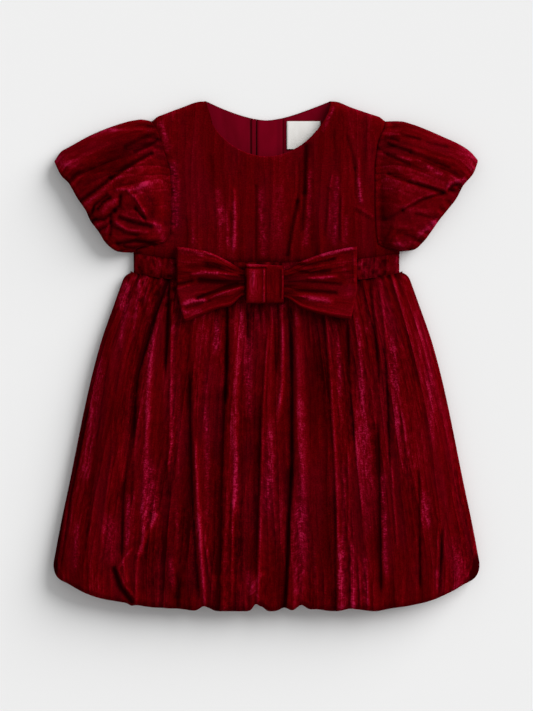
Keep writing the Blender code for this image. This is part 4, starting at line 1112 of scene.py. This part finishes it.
sleeveTops = {
    "left": (
        (-103.9, 210.6), (-112, 212), (-120.3, 211), (-132, 207.8), (-146, 202.8), (-160.8, 196.2),
        (-177, 187.2), (-186.4, 181.6), (-191.4, 174.4),
    ),
    "right": (
        (103.9, 210.4), (112, 210.5), (120.3, 210.2), (130.8, 207.6), (145.2, 202.1), (158.7, 196.1),
        (175.8, 188), (185, 181.6), (190.8, 175),
    ),
}

sleeveHems = {
    "left": (
        (-191.4, 174.4), (-185.8, 163.4), (-178.4, 155.6), (-169.8, 141), (-162.2, 130), (-158, 121),
        (-149.6, 109.8), (-142.4, 98.9), (-131.4, 91.8), (-121.6, 91.4),
    ),
    "right": (
        (190.8, 175), (187.2, 165.4), (177.4, 153.4), (170.6, 141), (162.8, 131), (155.2, 121.8),
        (147.4, 110.8), (139.4, 100.4), (130.6, 93.4), (120.6, 92.6),
    ),
}

sleeveCreases = {
    "left": (
        (-103.6, 181, -119.6, 172, -140, 158.6, 3, 1.9), (-140, 158.6, -151, 149.4, -165, 139.6, 2.8, 2),
        (-112, 192, -134, 178, -160, 156, 1, 9), (-97.4, 194, -108, 187, -119, 182.4, 1.6, 1.1),
        (-100, 199.6, -115, 193.4, -127, 187, 1.3, 1.8), (-138, 152.6, -125, 152.4, -112, 158.6, 1, 2.4),
        (-157, 125.6, -154.4, 134.4, -143, 143.6, 2.4, 1.3),
        (-151.6, 131, -146.4, 137, -140.4, 141.4, 2.8, 1.1),
        (-157.6, 121.4, -146, 121.8, -136.4, 129.4, 2.8, 1.5),
        (-136.4, 129.4, -131.8, 134, -131, 142.4, 2.4, 1.5), (-106.4, 142, -102.4, 134, -103, 125, 1.5, 4),
        (-117.6, 131.6, -113.6, 126, -109, 121.8, 2.8, 1.4),
        (-132, 123.4, -119.6, 119, -104, 115.6, 2, 1.9), (-138, 116, -128, 110.6, -116, 107.6, 1.6, 1.8),
        (-134, 99.8, -118, 102.8, -101, 100.2, 2.8, 1.8), (-139.8, 124, -139.4, 112, -141.6, 104, 1.6, 1.4),
        (-149, 112.6, -144, 115, -139.6, 119.6, 2, 1.3), (-128, 97.4, -120, 96, -110, 97, 1.6, 1.4),
    ),
    "right": (
        (98.6, 187, 110, 179.3, 127.4, 171.6, 2.1, 1.5), (105.6, 192.4, 114, 187.6, 128.4, 182.4, 1.6, 1.4),
        (129, 181.4, 145, 175.8, 163, 168.6, 1.4, 1.4), (105, 196, 111.6, 194.4, 117.4, 192.6, 1.8, 1.2),
        (119.6, 198.4, 128, 196.4, 137, 193.6, 1.5, 1.3), (144, 190.4, 153, 188.6, 161, 187, 1.4, 1.6),
        (108.6, 162.8, 130, 155, 160.4, 145.8, 2.3, 1.4), (158, 145, 140, 139.8, 121.6, 129.8, 1.9, 1.2),
        (121.6, 129.8, 113, 124.6, 105, 121.6, 1.2, 2.2),
        (162.8, 148, 166.6, 152.6, 173.4, 153.2, 2.8, 1.4),
        (165.6, 148, 169.6, 147.4, 172.4, 150.4, 1.8, 1.1), (132, 172.6, 145, 170, 158, 160.4, 0.9, 3.6),
        (133, 126.4, 141, 125, 151, 122.8, 1.5, 1.5), (119.6, 110, 129, 107.4, 138, 102, 1.4, 2.4),
        (100.6, 166, 101.6, 145, 103.4, 124, 1.1, 3.2), (111, 113, 106.4, 105, 104, 98, 0.9, 2),
        (117, 111, 112.4, 104.6, 109, 98.6, 0.7, 1.6),
    ),
}

sleeveRidges = {
    "left": (
        (-104, 177.8, -121, 168.4, -139.6, 154.8, 1.5, 1.6),
        (-139.6, 154.8, -150, 146.2, -162.4, 136.2, 1.8, 2.3), (-97, 190, -105, 186, -115, 181, 1.2, 1),
        (-100, 203, -120, 202.4, -140, 201.6, 0.9, 1.2), (-136, 202, -146, 200.6, -156, 196.6, 0.9, 1.8),
        (-180, 171, -164, 178.4, -142, 188.4, 0.8, 2), (-186, 173, -182, 172, -177, 171, 0.7, 5),
        (-134.4, 149, -117.6, 148.4, -108, 153.6, 1.7, 1.3), (-112, 152, -109, 153.6, -106, 154, 0.6, 2.2),
        (-147, 129.4, -141.4, 134.4, -135.6, 138.4, 1.4, 3.2),
        (-124.4, 147.6, -117.6, 141.6, -108.4, 126.8, 1.8, 1.1),
        (-115.8, 127.6, -110.6, 120.6, -94.6, 116.4, 2.2, 1.2),
        (-129, 125.4, -119, 122.8, -112.4, 121, 1.2, 1.2),
        (-134.6, 118.6, -124.4, 112, -107, 110.4, 1.6, 1.3), (-144, 108, -143, 112, -141, 118, 1, 1),
    ),
    "right": (
        (131, 157.6, 145, 153.4, 159, 148.6, 1.1, 1.2), (150, 144.9, 138, 141.2, 123.4, 133.2, 1.1, 1.2),
        (160.6, 146.8, 164, 154.4, 177.4, 158, 1.9, 1.5), (145, 168.6, 151.6, 165.4, 156.4, 163, 1.2, 2),
        (117, 178.6, 126, 175.4, 137, 174.8, 1, 1.9), (109, 197.8, 124, 198.6, 134, 196.6, 0.9, 1.1),
        (112, 190.6, 126, 186.8, 142, 181.6, 0.9, 1.4), (136, 108, 144, 113.4, 151.6, 120.4, 0.9, 1.5),
        (116, 105, 119, 99.4, 124.4, 95.6, 0.7, 1.9), (121, 134, 132, 128, 146, 129, 0.5, 3),
        (178, 184, 182, 178, 184, 170, 0.4, 5),
    ),
}

sleeveCrushed = {
    "left": (
        (-112, 153, -108, 154.4, -103, 153, 0.5, 2.2), (-188, 176, -178, 171, -168, 171, 0.4, 5),
        (-148, 202, -142, 203.4, -136, 203, 0.8, 1.6), (-100, 118, -96, 112, -92, 104, 0.6, 3),
        (-116, 149, -108, 146, -104, 138, 0.4, 4),
    ),
    "right": (
        (178, 184, 183, 178, 186, 168, 0.3, 5), (140, 170, 150, 166.4, 156, 163, 0.7, 2.4),
        (136, 108, 144, 114, 152, 122, 0.7, 2.4), (116, 99, 124, 98.6, 134, 102, 0.5, 3),
        (164, 152, 172, 156, 178, 158, 0.8, 1.8),
    ),
}


def sleevePlan(side, u, w):
    top, hem = sleeveTops[side], sleeveHems[side]
    run = np.subtract(hem[-1], hem[0])
    run = run / np.linalg.norm(run)
    out = signs[side] * np.array([-run[1], run[0]])

    def rollAt(w):
        return sleeves["roll"] + sleeves["rollFront"] * 2 * np.sqrt(limit(w * (1 - w)))

    def armhole(w):
        p = trace(armholes[side], 1 - w)
        lift = dress["seamGap"] * ease(1 - 4 * w) + sleeves["underarm"] * ease((w - 0.5) / 0.3)
        return Place(p.x + signs[side] * sleeves["seam"], p.y + lift)

    def hemBase(w):
        p = trace(hem, w)
        return Place(p.x - out[0] * rollAt(w), p.y - out[1] * rollAt(w))

    def fold(u):
        p = trace(top, u)
        tip = hemBase(0.0)
        return Place(p.x + (tip.x - top[-1][0]) * u, p.y + (tip.y - top[-1][1]) * u)

    def underarm(u):
        return Place(*(mix(start, end, u) for start, end in zip(armhole(1.0), hemBase(1.0))))

    return patch(fold, underarm, armhole, hemBase, w, u), rollAt(w), run, out


def sleeve(side):
    lean = sleeves["lean"][side]
    mid = (dress["frontEdge"] + dress["backEdge"]) / 2

    def place(u, v):
        # u goes round the sleeve, over its front first; v from the armhole out to the hem and in
        angle = u * 2 * pi
        across = np.sin(angle)
        w = (1 - np.cos(angle)) / 2
        tuck, t, turn, back = stages(v, sleeves["stages"])
        front = across >= 0
        (x, y), roll, run, out = sleevePlan(side, t, w)
        high = limit(across)
        dome = mid + (follow(sleeves["crown"], t) - mid) * high ** 0.7
        atSeam = mid + (bodiceHeight(x, y) - mid) * limit(4 * high)
        creases, ridges = creasesOf(sleeveCreases[side], x, y), creasesOf(sleeveRidges[side], x, y)
        crushed = creasesOf(sleeveCrushed[side], x, y, 2.0)
        gather = np.cos(2 * pi * sleeves["gathers"] * w + 1.5 * noise(w, t, sleeves["uneven"]))
        start, over = sleeves["headTo"]
        onHead = 1 - ease((w - start) / over)
        height, middle, half = sleeves["headGathers"]
        gathers = gather * height * bell(t - middle, half) * onHead
        height, start = sleeves["hemGathers"]
        gathers += gather * height * ease((t - start) / (1 - start))
        along, over = x * np.cos(lean) + y * np.sin(lean), y * np.cos(lean) - x * np.sin(lean)
        drawn = wrinkles(over, along, sleeves["streakHeight"], sleeves["streaks"][side])
        rumple = wrinkles(x + y, y - x, sleeves["wrinkleHeight"], sleeves["wrinkles"])
        start, over = sleeves["rumpledFrom"]
        rumple = mix(drawn, rumple, 0.7 * ease((w - start) / over))
        pulled = sleeves["pulledHeight"] * ridged(w, t, sleeves["pulled"]) * (1 - 0.6 * t) * onHead
        relief = gathers + ridges - creases + rumple + pulled
        z = atSeam + np.clip(dome - atSeam, 0, None) * ease(t / sleeves["fullFrom"])
        z = np.maximum(z + relief * high * ease(t / sleeves["foldsFrom"]), atSeam - 0.4)
        z = np.where(front, z, mid * limit(1 - 1.5 * limit(-across) ** 0.6))
        roll = np.where(front, roll, sleeves["roll"])
        draw = roll * (1 - np.cos(turn)) * np.cos(angle)
        push = roll * np.sin(turn) - back * sleeves["turnUp"]
        inner = np.where(front, sleeves["lipFront"], sleeves["lipBack"])
        inner = mix(mid, inner, limit(2 * np.abs(across)))
        share = (1 - np.cos(turn)) / 2
        # painted shade in creases, beside the armhole seam and between gathers; painted highlight on ridges,
        # raised gathers and streaks, and the sleeve's painted light
        paintedShade = creases / 3.4 + 0.30 * seamShade(t * sleeves["length"]) + 0.35 * limit(-gathers)
        paintedHighlight = ridges / 1.8 + 0.3 * limit(gathers) + sleeves["paintedLight"][side] + 0.5 * drawn
        tuckFront = tuck * ease(4 * high)
        x = x + out[0] * push + run[0] * draw - signs[side] * sleeves["tuckAcross"] * tuckFront
        y = y + out[1] * push + run[1] * draw - sleeves["tuckUnderarm"] * tuck * ease((w - 0.72) / 0.12)
        z = mix(z, inner, share) - dress["tuckDown"] * tuckFront
        return drawnOut(x, y), y, z, paintedShade * front, paintedHighlight * front * (1 - share), crushed * front

    return place


def makeSleeves():
    for side in signs:
        piece = makeSheet(f"sleeve{side.title()}", sleeves, sleeve(side), tube=True)
        dressPiece(piece, f"sleeve_{side}", "sleeve")
    print("sleeves made")


# bow

bow = {
    "top": 5.4,
    "topInKnot": 7.0,
    "inKnot": 2.6,
    "puff": 2.6,
    "least": 0.6,         # between the front and back of a loop
    "endRound": 1.6,
    "outward": 0.46,      # share of the cloth from the knot to the end, and round the end
    "roundEnd": 0.08,
    "tuckShare": 0.29,    # of the way out, what is flattened inside the knot
    "edgeShare": 0.05,
    "pleats": 3.5,
    "pleat": 1.3,
    "finePleats": (1 / 9, 1 / 1.3, 53),
    "finePleat": 0.8,
    "columns": 90,
    "rows": 190,
    "cloth": (70, 150),
    "flat": (0.068, 0.156),
    # y and the height of what lies under the bow there
    "rest": ((28, 16.6), (46, 13.2), (60, 10.6), (68, 9.2), (84, 9.2), (98, 11.2)),
    "wrinkles": (30.0, 8.0, 51),
    "wrinkleHeight": 0.35,
    # how far out, and y
    "lows": {
        "left": ((2.3, 52.8), (20.4, 53.4), (33, 44.2), (44.7, 41.3), (59.6, 35.1), (72, 29.6)),
        "right": ((1.7, 52.4), (16.5, 51.4), (32.7, 41.6), (53.4, 35.8), (64, 33.6), (74, 32)),
    },
    "highs": {
        "left": ((2.3, 76.4), (20.4, 77.4), (36.2, 85.4), (50.1, 92.3), (62.7, 95.2), (78.9, 97.6)),
        "right": ((1.7, 75.8), (16.5, 77), (32.7, 85.2), (53.4, 92.3), (66, 95.4), (79.5, 97.6)),
    },
    "creases": {
        "left": (
            (-54, 82, -42, 79.8, -23, 75.4, 1.2, 2.8), (-60, 67.4, -42, 66, -23, 66.4, 1.5, 2.4),
            (-62, 51.4, -44, 58, -27, 64, 1.9, 1.7), (-79, 64, -74, 65, -67, 67, 1, 1.6),
            (-72, 43, -62, 45.4, -52, 49.4, 0.8, 1.6),
        ),
        "right": (
            (18, 83, 36, 81, 60, 86, 1.5, 2), (20, 76.6, 40, 74, 56, 75.6, 1.1, 2),
            (17, 58.4, 38, 57.4, 62, 56, 1.3, 1.8), (18, 66.4, 42, 66, 66, 64, 0.9, 1.6),
        ),
    },
    "ridges": {
        "left": (
            (-56, 93.4, -40, 86.8, -22, 79, 1.4, 1), (-78, 96.4, -68, 95, -58, 93.8, 0.9, 1.5),
            (-67, 72.8, -54, 74.4, -26, 72, 1.6, 1.5), (-79.6, 59.4, -75.6, 61, -70, 62.8, 1.4, 1),
            (-56, 48.4, -40, 55.8, -23, 61, 1.6, 1), (-73.6, 46.4, -66, 48.8, -57, 49, 1.4, 2),
            (-68.6, 54, -62, 56.2, -55, 56.4, 0.8, 1),
        ),
        "right": (
            (18, 80, 36, 85.4, 50, 90.4, 1.4, 1), (50, 90.8, 62, 93.6, 77, 96.6, 1.6, 1.8),
            (38, 69, 49, 69.6, 62, 70.6, 1.3, 1.4), (38, 74.8, 52, 77.8, 69, 80.8, 1, 0.9),
            (16, 54.2, 25, 53.4, 34, 52, 1.3, 1.2), (38, 50.2, 46, 49.2, 57, 48, 1.4, 2.2),
            (78, 92, 78.6, 80, 78.6, 66, 1, 0.9),
        ),
    },
    "crushed": {
        "left": (
            (-73, 46.6, -66, 48.8, -56, 49.4, 1, 2.2), (-76, 40, -68, 38, -60, 40, 0.6, 2.4),
            (-76, 93, -66, 92, -58, 90.6, 0.5, 2.4), (-66, 73, -56, 74.4, -44, 74, 0.6, 1.7),
        ),
        "right": (
            (50, 91, 62, 94, 76, 96.6, 0.9, 2), (36, 51.4, 44, 50.6, 53, 49.4, 0.6, 2.6),
            (42, 69.4, 50, 69.6, 58, 70.4, 0.7, 1.4), (68, 80, 74, 70, 74, 56, 0.4, 3),
        ),
    },
}

knot = {
    "left": -19.5,
    "right": 15.6,
    "low": 46.8,
    "high": 82.3,
    "rise": 9.6,
    "slant": 1.8,
    "square": 0.45,
    "pleat": 1.2,
    "pleatAt": 0.56,
    "pleatOver": 0.06,
    "crown": 0.6,
    "edgeDown": 1.2,
    "edgeShare": 0.10,
    # painted highlight on the knot's left half, up to this x
    "paintedLight": 0.20,
    "paintedLightTo": -2.4,
    "uneven": (5, 9, 61),
    "columns": 70,
    "rows": 140,
    "cloth": (36, 90),
    "flat": (0.040, 0.090),
    "creases": (
        (-19, 78.6, -10, 78, -1, 78.6, 1, 0.9), (-0.4, 78, -0.6, 64, -0.4, 48, 0.9, 0.9),
        (-19, 70, -19, 60, -19, 50, 0.8, 1.2), (12.2, 76, 12, 64, 12.2, 52, 0.4, 0.9),
    ),
    "ridges": (
        (-2.2, 77, -2.2, 64, -2.4, 48, 0.9, 0.8), (-11, 74, -11.2, 69, -11.4, 64, 0.7, 1.2),
        (14.4, 77, 14.6, 64, 14, 51, 0.9, 0.9), (-18, 81, -2, 81.6, 14, 80, 0.3, 0.9),
    ),
    "crushed": ((-11, 75, -11.4, 66, -11, 58, 0.4, 3), (-16, 80.6, -8, 81, 10, 80.4, 0.2, 1.6)),
}


def bowLoop(side):
    lows, highs = bow["lows"][side], bow["highs"][side]

    def place(u, v):
        # u across the loop; v out along its front, round its end and back underneath
        end = mix(lows[-1][0], highs[-1][0], limit(2.5 * u))
        out = limit(fromEnds(v) / bow["outward"])
        around = limit((v - bow["outward"]) / bow["roundEnd"]) * pi
        reach = mix(lows[0][0], end, out)
        x = signs[side] * reach
        y = mix(follow(lows, reach), follow(highs, reach), u)
        tuck = np.exp(-((out / bow["tuckShare"]) ** 6))
        edge = rise(fromEnds(u) / bow["edgeShare"])
        puff = bow["puff"] * np.sin(pi * limit(out * 1.15)) * (1 - (2 * u - 1) ** 4 * 0.6)
        wave = np.cos(2 * pi * bow["pleats"] * u)
        pleat = bow["pleat"] * wave * (1 - out) ** 0.7
        pleat += bow["finePleat"] * ridged(u, out, bow["finePleats"]) * (1 - out) ** 0.5
        creases, ridges = (creasesOf(bow[table][side], x, y) * (1 - tuck) for table in ("creases", "ridges"))
        relief = puff + pleat + wrinkles(x, y, bow["wrinkleHeight"], bow["wrinkles"])
        top = mix(bow["top"], bow["topInKnot"], tuck) + relief * (1 - tuck) + ridges - creases
        under = bow["inKnot"] * tuck
        top = mix(under + bow["least"], top, 0.35 + 0.65 * edge)
        z = follow(bow["rest"], y) + (top + under) / 2 + (top - under) / 2 * np.cos(around)
        front = (np.cos(around) > 0) * 1.0
        x = x + signs[side] * bow["endRound"] * np.sin(around)
        # painted shade in creases, between pleats near the knot and where the loop goes into the knot;
        # painted highlight on ridges and raised pleats
        paintedShade = (creases / 1.8 + 0.45 * limit(-wave) * (1 - out) ** 1.5 + 0.36 * tuck) * front
        paintedHighlight = (ridges / 1.8 + 0.25 * limit(pleat)) * front
        return x, y, z, paintedShade, paintedHighlight, creasesOf(bow["crushed"][side], x, y, 2.0) * front

    return place


def signedPower(value, power):
    return np.sign(value) * np.abs(value) ** power


def bowKnot(u, v):
    angle = v * 2 * pi
    high = knot["high"] - knot["slant"] * u
    y = (knot["low"] + high) / 2 - (high - knot["low"]) / 2 * signedPower(np.cos(angle), knot["square"])
    x = mix(knot["left"], knot["right"], u)
    level = signedPower(np.sin(angle), knot["square"])
    top = (level > 0) * 1.0
    edge = 1 - rise(fromEnds(u) / knot["edgeShare"])
    pleat = knot["pleat"] * ease((knot["pleatAt"] - u) / knot["pleatOver"] + 0.5)
    front = (pleat + knot["crown"] * np.sin(pi * u)) * rise(fromEnds(u) / 0.12) - knot["edgeDown"] * edge
    sunk, raised = creasesOf(knot["creases"], x, y), creasesOf(knot["ridges"], x, y)
    z = follow(bow["rest"], y) + knot["rise"] / 2 + (knot["rise"] / 2 + front * top) * level
    z += (raised - sunk + 0.3 * noise(x, y, knot["uneven"])) * top * limit(level)
    # painted shade in creases, over the knot's right half and at its edges; painted highlight on ridges and
    # its left half
    paintedShade = (sunk / 1.4 + 0.2 * ease((x + 2) / 6) + 0.6 * edge) * top
    paintedLight = knot["paintedLight"] * ease((knot["paintedLightTo"] - x) / 2)
    return x, y, z, paintedShade, (raised / 0.9 + paintedLight) * top, creasesOf(knot["crushed"], x, y, 2.0) * top


def makeBow():
    for side in signs:
        loop = makeSheet(f"bow{side.title()}", bow, bowLoop(side))
        dressPiece(loop, f"bow_{side}", "bow")
    wrap = makeSheet("bowKnot", knot, bowKnot, tube=True)
    dressPiece(wrap, "bow_knot", "knot")
    print("bow made")


# inside of the back neck

inside = {
    "stitches": 10.0,
    "neckInset": 0.6,
    "shoulderInset": 2.4,
    "sideInset": 5.0,
    "armholeShares": (0.24, 0.9),
    "low": 104.0,
    "height": 2.9,
    "uneven": (16, 22, 71),
    "edgeDown": 0.5,
    "edgeRound": 1.2,
    "far": 99.0,
    "openGrid": {"columns": 60, "rows": 90, "cloth": (90, 110)},
    # x of the panels' sides, none at an armhole
    "seams": (None, -14.1, -9.0, 14.7, None),
    # painted shade: how much a panel has at its edges, how far that reaches, and how much it has everywhere
    "dark": (1.0, 0.7, 0.14),
    "light": (0.30, 2.0, 0.10),
    # name, node, lift, which of these it has, cut, its area and the side of the back that it lies on
    "panels": (
        ("backLiningLeft", "back_lining_left", 0, "dark", (0.080, 0.106), 0.0080, "left"),
        ("placketUnder", "placket_under", 0, "dark", (0.010, 0.108), 0.00055, "left"),
        ("placketOver", "placket_over", 0.5, None, (0.0234, 0.108), None, "right"),
        ("backLiningRight", "back_lining_right", 0, "light", (0.088, 0.106), 0.0088, "right"),
    ),
}

label = {
    "left": 18.3,
    "right": 48.4,
    "low": 185.6,
    "high": 210.6,
    "height": 4.2,
    "bulge": 0.12,
    "edgeDown": 0.5,
    "columns": 40,
    "rows": 34,
    "cloth": (30, 25),
    "flat": (0.0301, 0.025),
}


def liningPanel(name, start, end, height, shade):
    def place(u, v):
        beside = mix(*inside["armholeShares"], v)
        left = trace(armholes["left"], beside).x + inside["sideInset"] if start is None else start
        right = trace(armholes["right"], beside).x - inside["sideInset"] if end is None else end
        x = mix(left, right, u)
        high = np.minimum(neckBack(x) - inside["neckInset"], shoulderLine(x) - inside["shoulderInset"])
        y = mix(inside["low"], high, v)
        fromStart = inside["far"] if start is None else x - start
        fromEdge = np.minimum(fromStart, inside["far"] if end is None else end - x)
        z = height + 0.10 * noise(x, y, inside["uneven"])
        z -= inside["edgeDown"] * (1 - ease(fromEdge / inside["edgeRound"]))
        # painted shade along the panel's edges and a little all over
        if shade:
            share, reach, base = inside[shade]
            paintedShade = share * fade(fromEdge, reach) + base
        else:
            # its right edge is stitched down, so painted shade falls along its left edge, along the stitches
            # and on the cloth beyond them
            beyond = x - inside["stitches"]
            paintedShade = fade(fromStart, 0.7) + 0.26 * ease(beyond / 2) + 0.30 * fade(np.abs(beyond), 0.8)
        return drawnOut(x, y), y, z, paintedShade, 0.0, 0.0

    if start is None or end is None:
        return makeSheet(name, inside["openGrid"], place)
    return makeSheet(name, {**inside["openGrid"], "columns": 16, "cloth": (end - start, 110)}, place)


def labelPlace(u, v):
    x, y = mix(label["left"], label["right"], u), mix(label["low"], label["high"], v)
    z = label["height"] + label["bulge"] * np.sin(pi * u) * np.sin(pi * v)
    z -= label["edgeDown"] * (1 - ease(fromEnds(u) / 0.03))
    return x, y, z, 0.0, 0.0, 0.0


def makeInside():
    seams = inside["seams"]
    for panel, left, right in zip(inside["panels"], seams, seams[1:]):
        name, node, lift, shade, flat, area, side = panel
        start = None if left is None else left + halfGap
        end = None if right is None else right - halfGap
        piece = liningPanel(name, start, end, inside["height"] + lift, shade)
        dressPiece(piece, node, "lining")
    tag = makeSheet("neckLabel", label, labelPlace)
    dressPiece(tag, "neck_label", "label")
    print("inside made")


# floor, light and camera

studio = {
    "floor": {"Base Color": (0.80, 0.80, 0.80, 1.0), "Roughness": 1.0, "Specular IOR Level": 0.0},
    "floorSize": 6.0,
    "ambient": {"Color": (1, 1, 1, 1), "Strength": 0.48},
    "key": 4.85,
    "keyAngle": radians(52),
    "keyTilt": radians(67),      # away from straight down
    "keyTurn": radians(36),      # from the right towards the neck
    "frameHeight": 0.640,
    "cameraHeight": 3.2,
    "sensor": 24.0,
}


def makeStudio():
    floor = addObject("floor", gridMesh("floor", 1, 1, studio["floorSize"] / 2))
    floor.data.materials.append(newMaterial("floor paper", studio["floor"]))

    world = bpy.data.worlds.new("studio")
    world.use_nodes = True
    setInputs(world.node_tree, world.node_tree.nodes["Background"], studio["ambient"])
    bpy.context.scene.world = world

    sun = bpy.data.lights.new("key", "SUN")
    sun.energy = studio["key"]
    sun.angle = studio["keyAngle"]
    addObject("key", sun).rotation_euler = (0.0, studio["keyTilt"], studio["keyTurn"])

    lens = bpy.data.cameras.new("camera")
    lens.sensor_fit = "VERTICAL"
    lens.sensor_height = studio["sensor"]
    lens.lens = studio["cameraHeight"] * studio["sensor"] / studio["frameHeight"]
    camera = addObject("camera", lens)
    camera.location = (0.0, 0.0, studio["cameraHeight"])
    bpy.context.scene.camera = camera
    bpy.context.scene.view_settings.view_transform = "Standard"
    print("studio made")


makeStudio()
makeBand()
makeSkirt()
makeBodice()
makeSleeves()
makeBow()
makeInside()
